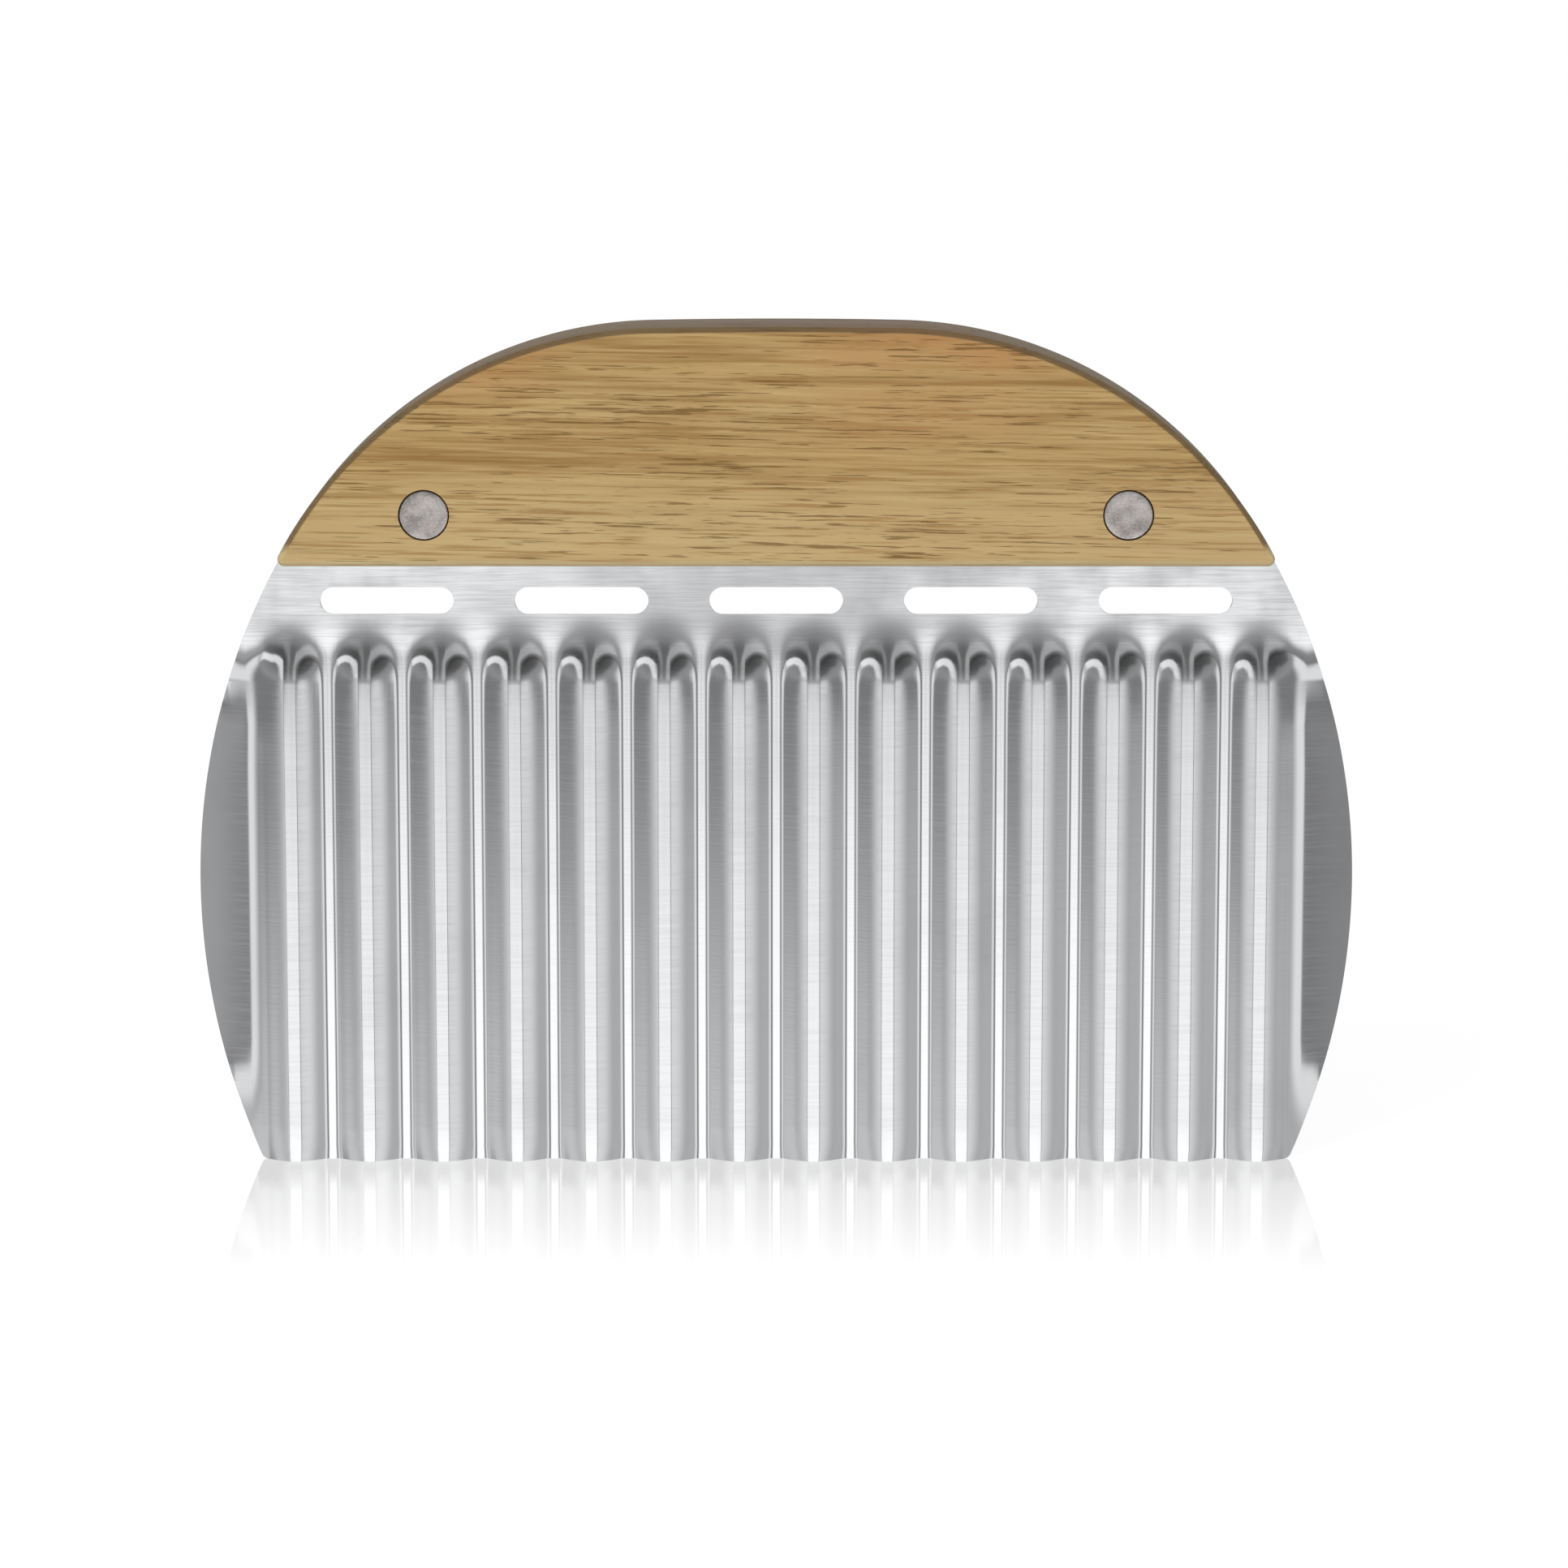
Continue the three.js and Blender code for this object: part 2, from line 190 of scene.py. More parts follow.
class Bench:
    """Modelling steps that several pieces share, made with the operators of edit mode."""

    @staticmethod
    def clear() -> None:
        """Leaves edit mode and deselects everything."""
        if bpy.context.object and bpy.context.object.mode != "OBJECT":
            bpy.ops.object.mode_set(mode="OBJECT")
        bpy.ops.object.select_all(action="DESELECT")

    @staticmethod
    def thread(name: str, points: Sequence[Sequence[float]]) -> bpy.types.Object:
        """Draws a chain of edges and stays in edit mode with all of it selected.

        Args:
            name: Name of the new object.
            points: Points of the chain in millimetres.

        Returns:
            The object that holds the chain.
        """
        Bench.clear()
        bpy.ops.mesh.primitive_plane_add(size=MM)
        piece = bpy.context.object
        piece.name = name
        piece.data.name = name
        bpy.ops.object.mode_set(mode="EDIT")
        bpy.ops.mesh.select_mode(type="VERT")
        bpy.ops.mesh.select_all(action="SELECT")
        bpy.ops.mesh.merge(type="CENTER")
        places = [Vector(point) * MM for point in points]
        bpy.ops.transform.translate(value=places[0])
        for here, there in zip(places, places[1:]):
            bpy.ops.mesh.extrude_region_move(TRANSFORM_OT_translate={"value": there - here})
        bpy.ops.mesh.select_all(action="SELECT")
        return piece

    @staticmethod
    def slab(name: str, outline: Sequence[Point2], front: float, rear: float) -> bpy.types.Object:
        """Fills an outline and extrudes it from front to rear.

        Args:
            name: Name of the new object.
            outline: Closed outline in X and Z, in millimetres.
            front: Y of the front face.
            rear: Y of the rear face.

        Returns:
            The closed slab, in object mode.
        """
        piece = Bench.thread(name, [(x, front, z) for x, z in outline])
        bpy.ops.mesh.edge_face_add()
        bpy.ops.mesh.extrude_region_move(
            TRANSFORM_OT_translate={"value": Vector((0, rear - front, 0)) * MM})
        Bench.face_outwards()
        bpy.ops.object.mode_set(mode="OBJECT")
        return piece

    @staticmethod
    def turned(name: str, profile: Sequence[Point2], axis_at: Point2,
               steps: int) -> bpy.types.Object:
        """Spins a profile about a front-to-back axis.

        Args:
            name: Name of the new object.
            profile: Radius and Y of each point, in millimetres, from axis to axis.
            axis_at: X and Z of the axis.
            steps: Number of steps in the full turn.

        Returns:
            The closed turned piece, in object mode.
        """
        x, z = axis_at
        piece = Bench.thread(name, [(x + radius, y, z) for radius, y in profile])
        bpy.ops.mesh.spin(steps=steps, angle=2 * math.pi, axis=(0, 1, 0),
                          center=Vector((x, 0, z)) * MM)
        bpy.ops.mesh.select_all(action="SELECT")
        bpy.ops.mesh.remove_doubles(threshold=MM * 1e-3)
        Bench.face_outwards()
        bpy.ops.object.mode_set(mode="OBJECT")
        return piece

    @staticmethod
    def face_outwards() -> None:
        """Turns every face of the mesh in edit mode outwards."""
        bpy.ops.mesh.select_all(action="SELECT")
        bpy.ops.mesh.normals_make_consistent(inside=False)

    @staticmethod
    def make_active(piece: bpy.types.Object) -> None:
        """Selects one piece alone and makes it active.

        Args:
            piece: Piece to select.
        """
        Bench.clear()
        piece.select_set(True)
        bpy.context.view_layer.objects.active = piece

    @staticmethod
    def apply(piece: bpy.types.Object, kind: str, **settings: object) -> None:
        """Adds a modifier, sets it and applies it.

        Args:
            piece: Piece that the modifier works on.
            kind: Type of the modifier.
            **settings: Values of the modifier's properties.
        """
        Bench.make_active(piece)
        modifier = piece.modifiers.new(kind.title(), kind)
        for key, value in settings.items():
            setattr(modifier, key, value)
        bpy.ops.object.modifier_apply(modifier=modifier.name)

    @staticmethod
    def cut(piece: bpy.types.Object, cutter: bpy.types.Object, how: Cut) -> None:
        """Cuts a piece with a cutter and removes the cutter.

        Args:
            piece: Piece to cut.
            cutter: Closed solid that cuts.
            how: Whether the inside of the cutter stays or goes.
        """
        Bench.apply(piece, "BOOLEAN", operation=how.value, object=cutter, solver="MANIFOLD")
        bpy.data.objects.remove(cutter)

    @staticmethod
    def join(pieces: Sequence[bpy.types.Object]) -> bpy.types.Object:
        """Joins separate solids in one object.

        Args:
            pieces: Objects to join.

        Returns:
            The first object, which then holds them all.
        """
        Bench.make_active(pieces[0])
        for piece in pieces:
            piece.select_set(True)
        bpy.ops.object.join()
        return pieces[0]

    @staticmethod
    def smooth(piece: bpy.types.Object, degrees: float) -> None:
        """Shades a piece smooth, with edges sharper than an angle kept crisp.

        Args:
            piece: Piece to shade.
            degrees: Angle from which an edge stays crisp.
        """
        Bench.make_active(piece)
        bpy.ops.object.shade_smooth_by_angle(angle=math.radians(degrees))

    @staticmethod
    def copy_beside(piece: bpy.types.Object, name: str, shift: float) -> bpy.types.Object:
        """Copies a piece with a mesh of its own and moves the mesh along X.

        Args:
            piece: Piece to copy.
            name: Name of the copy.
            shift: Move along X in millimetres.

        Returns:
            The copy, in object mode.
        """
        copy = piece.copy()
        copy.data = piece.data.copy()
        copy.name = name
        copy.data.name = name
        bpy.context.scene.collection.objects.link(copy)
        Bench.make_active(copy)
        bpy.ops.object.mode_set(mode="EDIT")
        bpy.ops.mesh.select_all(action="SELECT")
        bpy.ops.transform.translate(value=(shift * MM, 0, 0))
        bpy.ops.object.mode_set(mode="OBJECT")
        return copy


Number = Union[float, "Value"]


class Value:
    """A number in a shader, on which Python arithmetic adds Math nodes."""

    def __init__(self, graph: "ShaderGraph", socket: bpy.types.NodeSocket) -> None:
        """Wraps an output socket of a graph."""
        self.graph = graph
        self.socket = socket

    def math(self, operation: str, *others: Number) -> "Value":
        """Adds a Math node with this value first.

        Args:
            operation: The Math node's operation.
            *others: The node's other inputs, in order.

        Returns:
            The node's result.
        """
        return self.graph.math(operation, self, *others)

    def __add__(self, other: Number) -> "Value":
        """Adds another number."""
        return self.math("ADD", other)

    def __radd__(self, other: float) -> "Value":
        """Adds to a plain number."""
        return self.math("ADD", other)

    def __sub__(self, other: Number) -> "Value":
        """Takes another number away."""
        return self.math("SUBTRACT", other)

    def __rsub__(self, other: float) -> "Value":
        """Takes this value from a plain number."""
        return self.graph.math("SUBTRACT", other, self)

    def __mul__(self, other: Number) -> "Value":
        """Multiplies by another number."""
        return self.math("MULTIPLY", other)

    def __rmul__(self, other: float) -> "Value":
        """Multiplies a plain number."""
        return self.math("MULTIPLY", other)

    def __neg__(self) -> "Value":
        """Turns the sign round."""
        return self.math("MULTIPLY", -1.0)

    def __abs__(self) -> "Value":
        """Drops the sign."""
        return self.math("ABSOLUTE")

    def ease(self, low: float, high: float) -> "Value":
        """Rises smoothly from 0 to 1 between two levels.

        Args:
            low: Level where it starts to rise.
            high: Level where it reaches 1.

        Returns:
            The eased value.
        """
        node = self.graph.add("ShaderNodeMapRange", {"interpolation_type": "SMOOTHSTEP"},
                              {"Value": self, "From Min": low, "From Max": high})
        return Value(self.graph, node.outputs["Result"])

    def ease_mm(self, low: float, high: float) -> "Value":
        """Rises smoothly from 0 to 1 between two places in millimetres."""
        return self.ease(low * MM, high * MM)

    def ease_degrees(self, low: float, high: float) -> "Value":
        """Rises smoothly from 0 to 1 between two angles in degrees."""
        return self.ease(math.radians(low), math.radians(high))

    def span_degrees(self, low: float, full: float, fall: float, end: float) -> "Value":
        """Rises between two angles in degrees and falls again between two more."""
        return self.ease_degrees(low, full) * (1 - self.ease_degrees(fall, end))


@dataclass(frozen=True)
class Pattern:
    """Noise stretched along the axes: features per millimetre, shift, octaves and their weight."""

    repeats: Point3
    offset: Point3 = (0.0, 0.0, 0.0)
    detail: float = 2.0
    roughness: float = 0.5


class ShaderGraph:
    """The node tree of a material or of the world."""

    bevel_samples = 6

    def __init__(self, tree: bpy.types.NodeTree) -> None:
        """Takes a tree over and empties it."""
        self.tree = tree
        tree.nodes.clear()

    def add(self, kind: str, settings: dict[str, object] | None = None,
            inputs: dict[str, object] | None = None) -> bpy.types.Node:
        """Adds a node.

        Args:
            kind: Type of the node.
            settings: Properties of the node.
            inputs: Value, link or Value object for each input socket, by name.

        Returns:
            The new node.
        """
        node = self.tree.nodes.new(kind)
        for key, setting in (settings or {}).items():
            setattr(node, key, setting)
        for key, given in (inputs or {}).items():
            self._feed(self._socket(node, key), given)
        return node

    @staticmethod
    def _socket(node: bpy.types.Node, key: str | int) -> bpy.types.NodeSocket:
        """Finds an input socket that is in use.

        Args:
            node: Node that has the socket.
            key: Name or number of the socket.

        Returns:
            The socket.
        """
        if isinstance(key, int):
            return node.inputs[key]
        named = [socket for socket in node.inputs if socket.name == key]
        return next((socket for socket in named if socket.enabled), named[0])

    def _feed(self, socket: bpy.types.NodeSocket, given: object) -> None:
        """Links a socket, or sets its plain value.

        Args:
            socket: Input socket.
            given: A Value or an output to link, or a plain value.
        """
        if isinstance(given, Value):
            self.tree.links.new(given.socket, socket)
        elif isinstance(given, bpy.types.NodeSocket):
            self.tree.links.new(given, socket)
        else:
            socket.default_value = given

    def math(self, operation: str, *numbers: Number) -> Value:
        """Adds a Math node.

        Args:
            operation: The node's operation.
            *numbers: The node's inputs, in order.

        Returns:
            The node's result.
        """
        node = self.add("ShaderNodeMath", {"operation": operation}, dict(enumerate(numbers)))
        return Value(self, node.outputs[0])

    def axes(self, output: str) -> tuple[Value, Value, Value]:
        """Gives the three parts of a texture coordinate.

        Args:
            output: Name of the coordinate.

        Returns:
            X, Y and Z.
        """
        coordinate = self.add("ShaderNodeTexCoord").outputs[output]
        parts = self.add("ShaderNodeSeparateXYZ", inputs={"Vector": coordinate}).outputs
        return tuple(Value(self, part) for part in parts)

    def noise(self, pattern: Pattern, lean: float = 0.0) -> Value:
        """Adds noise on the object's coordinates.

        Args:
            pattern: What the noise is like.
            lean: Angle by which the pattern falls to the right, in radians.

        Returns:
            Noise around 0.5.
        """
        coordinate = self.add("ShaderNodeTexCoord").outputs["Object"]
        if lean:
            turned = self.add("ShaderNodeVectorRotate", {"rotation_type": "Y_AXIS"},
                              {"Vector": coordinate, "Angle": -lean})
            coordinate = turned.outputs["Vector"]
        scale = [repeat / MM for repeat in pattern.repeats]
        mapping = self.add("ShaderNodeMapping", {"vector_type": "POINT"},
                           {"Vector": coordinate, "Scale": scale, "Location": pattern.offset})
        node = self.add("ShaderNodeTexNoise", inputs={
            "Vector": mapping.outputs["Vector"], "Scale": 1.0,
            "Detail": pattern.detail, "Roughness": pattern.roughness})
        return Value(self, node.outputs["Fac"])

    def mix(self, share: Number, first: object, second: object) -> bpy.types.NodeSocket:
        """Mixes two colours.

        Args:
            share: Share of the second colour.
            first: Colour at a share of 0.
            second: Colour at a share of 1.

        Returns:
            The mixed colour.
        """
        node = self.add("ShaderNodeMix", {"data_type": "RGBA"},
                        {"Factor": share, "A": first, "B": second})
        return next(socket for socket in node.outputs if socket.enabled)

    def bump(self, height: Value, depth: float,
             edge_radius: float = 0.0) -> bpy.types.NodeSocket:
        """Turns a height into a bent normal.

        Args:
            height: Height, as a share of the depth.
            depth: Depth that a height of 1 stands for, in millimetres.
            edge_radius: Radius by which sharp edges look rounded, in millimetres.

        Returns:
            The normal.
        """
        inputs = {"Height": height, "Distance": depth * MM}
        if edge_radius:
            rounded = self.add("ShaderNodeBevel", {"samples": self.bevel_samples},
                               {"Radius": edge_radius * MM})
            inputs["Normal"] = rounded.outputs["Normal"]
        return self.add("ShaderNodeBump", inputs=inputs).outputs["Normal"]

    def shader(self, kind: str, inputs: dict[str | int, object]) -> bpy.types.NodeSocket:
        """Adds a shader node.

        Args:
            kind: Type of the node.
            inputs: What feeds the shader, by socket name or number.

        Returns:
            The shader.
        """
        return self.add(kind, inputs=inputs).outputs[0]

    def blend(self, share: object, first: bpy.types.NodeSocket,
              second: bpy.types.NodeSocket) -> bpy.types.NodeSocket:
        """Mixes two shaders by the share of the second."""
        return self.shader("ShaderNodeMixShader", {0: share, 1: first, 2: second})

    def surface(self, inputs: dict[str, object]) -> None:
        """Ends a material in a Principled shader.

        Args:
            inputs: What feeds the shader, by socket name.
        """
        self.end("ShaderNodeOutputMaterial", self.shader("ShaderNodeBsdfPrincipled", inputs))

    def end(self, kind: str, shader: bpy.types.NodeSocket) -> None:
        """Ends the tree in an output node of a type."""
        self.add(kind, inputs={"Surface": shader})


class Finish:
    """A procedural finish that pieces are dressed in."""

    name = "finish"
    slot = ""

    def paint(self, graph: ShaderGraph) -> None:
        """Builds the nodes of the finish."""
        raise NotImplementedError

    def material(self) -> bpy.types.Material:
        """Makes the finish's material on first use.

        Returns:
            The material.
        """
        found = bpy.data.materials.get(self.name)
        if found is None:
            found = bpy.data.materials.new(self.name)
            found.use_nodes = True
            self.paint(ShaderGraph(found.node_tree))
        return found

    def dress(self, piece: bpy.types.Object) -> None:
        """Puts the finish on a piece.

        Args:
            piece: Piece to dress.
        """
        piece.data.materials.clear()
        piece.data.materials.append(self.material())


@dataclass(frozen=True)
class BrushedSteel(Finish):
    """Pressed stainless sheet with fine lines along its width."""

    name: str = "brushed_steel"
    slot: str = "steel"
    tone: Colour = srgb(238, 239, 241)
    smudge: Colour = srgb(172, 173, 174)
    lines: Pattern = Pattern((0.12, 0.12, 3.4), detail=3.0, roughness=0.6)
    line_depth: float = 0.0018
    dents: Pattern = Pattern((0.09, 0.05, 0.07), (6.3, 1.1, 0.4), detail=1.0)
    dent_depth: float = 0.3
    smudges: Pattern = Pattern((0.10, 0.10, 0.07), (3.1, 0.7, 5.2), detail=3.0, roughness=0.6)
    smudge_levels: Point2 = (0.45, 0.75)
    smudge_on_waves: float = 0.25
    smudge_shade: float = 0.4
    smudge_roughness: float = 0.04
    streak_levels: Point2 = (0.35, 0.75)
    streak_shade: float = 0.3
    streak_roughness: float = 0.06
    bend_roughness: float = 0.07
    ridge_front: Point2 = (1.3, 2.2)
    ridge_roughness: float = 0.10
    band_height: Point2 = (65.5, 70.0)
    band_roughness: float = 0.13
    band_lean: float = 0.03
    lean_reach: Point2 = (4.0, 45.0)
    edge_radius: float = 0.05

    def paint(self, graph: ShaderGraph) -> None:
        """Builds the brushed lines, the rubbed ridges and the smudged, faintly dented flat band.

        Args:
            graph: Empty tree of the material.
        """
        x, y, z = graph.axes("Object")
        lines = graph.noise(self.lines)
        dents = graph.noise(self.dents) - NOISE_MIDDLE
        ridge = (-y).ease_mm(*self.ridge_front)
        band = z.ease_mm(*self.band_height)
        streaks = lines.ease(*self.streak_levels)
        smudges = graph.noise(self.smudges).ease(*self.smudge_levels)
        smudges = smudges * (self.smudge_on_waves + band * (1 - self.smudge_on_waves))
        roughness = self.bend_roughness + ridge * self.ridge_roughness + band * self.band_roughness
        above_waves = z - self.band_height[0] * MM
        lean = above_waves * (self.band_lean / MM) * abs(x).ease_mm(*self.lean_reach)
        height = lines * self.line_depth + (dents * self.dent_depth + lean) * band
        shade = smudges * self.smudge_shade + streaks * self.streak_shade * band
        graph.surface({
            "Base Color": graph.mix(shade, self.tone, self.smudge),
            "Metallic": 1.0,
            "Roughness": (roughness + streaks * self.streak_roughness
                          + smudges * self.smudge_roughness),
            "Normal": graph.bump(height, 1.0, self.edge_radius),
        })


@dataclass(frozen=True)
class HoneyWood(Finish):
    """Light honey-brown wood with its grain along the handle."""

    name: str = "honey_wood"
    slot: str = "wood"
    pale: Colour = srgb(196, 168, 118)
    middle: Colour = srgb(178, 147, 96)
    straw: Colour = srgb(198, 176, 128)
    deep: Colour = srgb(142, 107, 58)
    red: Colour = srgb(176, 130, 82)
    pore: Colour = srgb(110, 79, 38)
    # edge is a painted shade colour: it darkens the rounded edges above the rim height, where they
    # face up and catch less light.
    edge: Colour = srgb(92, 76, 54)
    # rim is a painted light colour: it makes the rounded lower edges paler, as if lit by the
    # floor's bounce.
    rim: Colour = srgb(196, 178, 138)
    grain_fall: float = 0.018
    bands: Pattern = Pattern((0.010, 0.10, 0.16), detail=3.0)
    band_levels: Point2 = (0.45, 0.75)
    band_shade: float = 0.3
    grain: Pattern = Pattern((0.018, 0.55, 0.75), (2.0, 0.0, 7.0), detail=5.0, roughness=0.6)
    grain_levels: Point2 = (0.28, 0.62)
    grain_relief: float = 0.4
    fibre: Pattern = Pattern((0.07, 2.2, 3.0), (5.0, 1.0, 3.0), detail=3.0)
    fibre_levels: Point2 = (0.40, 0.75)
    fibre_shade: float = 0.55
    fibre_relief: float = 0.4
    fibre_roughness: float = 0.08
    streaks: Pattern = Pattern((0.09, 2.2, 3.2), (7.0, 3.0, 4.0))
    streak_levels: Point2 = (0.52, 0.66)
    streak_shade: float = 0.6
    crowding: Pattern = Pattern((0.03, 0.15, 0.22), (1.0, 6.0, 2.0))
    pores: Pattern = Pattern((0.13, 3.0, 3.9), (9.0, 4.0, 1.0))
    pore_levels: Point2 = (0.78, 0.84)
    pore_crowding: float = 0.30
    pore_shade: float = 0.7
    pore_relief: float = 0.9
    pore_roughness: float = 0.2
    ticks: Pattern = Pattern((0.34, 4.0, 5.4), (2.0, 8.0, 5.0), detail=1.0)
    tick_levels: Point2 = (0.80, 0.88)
    tick_crowding: float = 0.25
    tick_shade: float = 0.3
    tick_relief: float = 0.4
    warmth: Pattern = Pattern((0.03, 0.06, 0.12), (4.4, 2.0, 0.3))
    warmth_levels: Point2 = (0.40, 0.68)
    red_all_over: float = 0.15
    red_at_top: float = 0.6
    red_height: Point2 = (92.0, 106.0)
    straw_height: Point2 = (83.0, 93.0)
    straw_shade: float = 0.55
    face_depth: Point2 = (7.44, 7.495)
    edge_painted_shade: float = 0.8
    # Below this height the rounded edges get painted light, above it painted shade.
    rim_height: Point2 = (79.9, 81.7)
    rim_painted_light: float = 0.6
    oil_roughness: float = 0.52
    oil_gloss: float = 0.2
    relief: float = 0.05

    def paint(self, graph: ShaderGraph) -> None:
        """Builds the grain, the pores, the red heart, painted shade on the rounded upper edges and
        painted light on the rounded lower edges.

        Args:
            graph: Empty tree of the material.
        """
        def grown(pattern: Pattern) -> Value:
            """Adds noise that falls with the grain."""
            return graph.noise(pattern, self.grain_fall)

        _, y, z = graph.axes("Object")
        grain, fibre, crowding = grown(self.grain), grown(self.fibre), grown(self.crowding)
        pores = (grown(self.pores) + crowding * self.pore_crowding).ease(*self.pore_levels)
        ticks = (grown(self.ticks) + crowding * self.tick_crowding).ease(*self.tick_levels)
        bands = grown(self.bands).ease(*self.band_levels)
        streaks = grown(self.streaks).ease(*self.streak_levels)
        warmth = grown(self.warmth).ease(*self.warmth_levels)
        lower = 1 - z.ease_mm(*self.straw_height)
        red = self.red_all_over + z.ease_mm(*self.red_height) * self.red_at_top
        # The rounded edges carry painted light and shade: painted shade above the rim height,
        # painted light from the floor's bounce below it.
        edge = 1 - abs(y).ease_mm(*self.face_depth)
        over = z.ease_mm(*self.rim_height)

        colour = graph.mix(grain.ease(*self.grain_levels), self.deep, self.middle)
        for share, tint in (
                (fibre.ease(*self.fibre_levels) * self.fibre_shade, self.pale),
                (bands * self.band_shade, self.pale),
                (lower * self.straw_shade, self.straw),
                (streaks * self.streak_shade, self.deep),
                (warmth * red, self.red),
                (pores * self.pore_shade + ticks * self.tick_shade, self.pore),
                (edge * over * self.edge_painted_shade, self.edge),
                (edge * (1 - over) * self.rim_painted_light, self.rim)):
            colour = graph.mix(share, colour, tint)
        height = fibre * self.fibre_relief + grain * self.grain_relief
        height = height - pores * self.pore_relief - ticks * self.tick_relief
        graph.surface({
            "Base Color": colour,
            "Roughness": (self.oil_roughness + pores * self.pore_roughness
                          + fibre * self.fibre_roughness),
            "Specular IOR Level": self.oil_gloss,
            "Normal": graph.bump(height, self.relief),
        })


@dataclass(frozen=True)
class MottledMetal(Finish):
    """Soft rivet metal, sanded flush and mottled."""

    name: str = "mottled_rivet_metal"
    slot: str = "rivet_metal"
    pale: Colour = srgb(236, 229, 226)
    dark: Colour = srgb(168, 160, 157)
    mottle: Pattern = Pattern((0.5, 0.5, 0.5), (1.7, 0.0, 2.9))
    mottle_levels: Point2 = (0.32, 0.68)
    mottle_shade: float = 0.55
    mottle_relief: float = 0.7
    sanding: Pattern = Pattern((2.6, 2.6, 4.0), (0.4, 3.0, 0.8), detail=4.0, roughness=0.65)
    sanding_levels: Point2 = (0.35, 0.68)
    sanding_shade: float = 0.45
    sanding_relief: float = 0.3
    sanding_roughness: float = 0.16
    roughness: float = 0.36
    relief: float = 0.04

    def paint(self, graph: ShaderGraph) -> None:
        """Builds the mottling and the fine sanding.

        Args:
            graph: Empty tree of the material.
        """
        mottle = graph.noise(self.mottle)
        sanding = graph.noise(self.sanding)
        patches = (mottle.ease(*self.mottle_levels) * self.mottle_shade
                   + sanding.ease(*self.sanding_levels) * self.sanding_shade)
        height = mottle * self.mottle_relief + sanding * self.sanding_relief
        graph.surface({
            "Base Color": graph.mix(patches, self.dark, self.pale),
            "Metallic": 1.0,
            "Roughness": self.roughness + sanding * self.sanding_roughness,
            "Normal": graph.bump(height, self.relief),
        })


@dataclass
class Piece:
    """A finished object with its name, finish and the solid that it stands for."""

    made: bpy.types.Object
    finish: Finish
    node: str

    def hand_over(self) -> None:
        """Dresses the object, puts it on the body and hides the solid that it replaces."""
        self.finish.dress(self.made)
        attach(self.made, BODY)
        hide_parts(self.node)
        faces = len(self.made.data.polygons)
        LOG.info("%s: %d faces, replaces %s", self.made.name, faces, self.node)


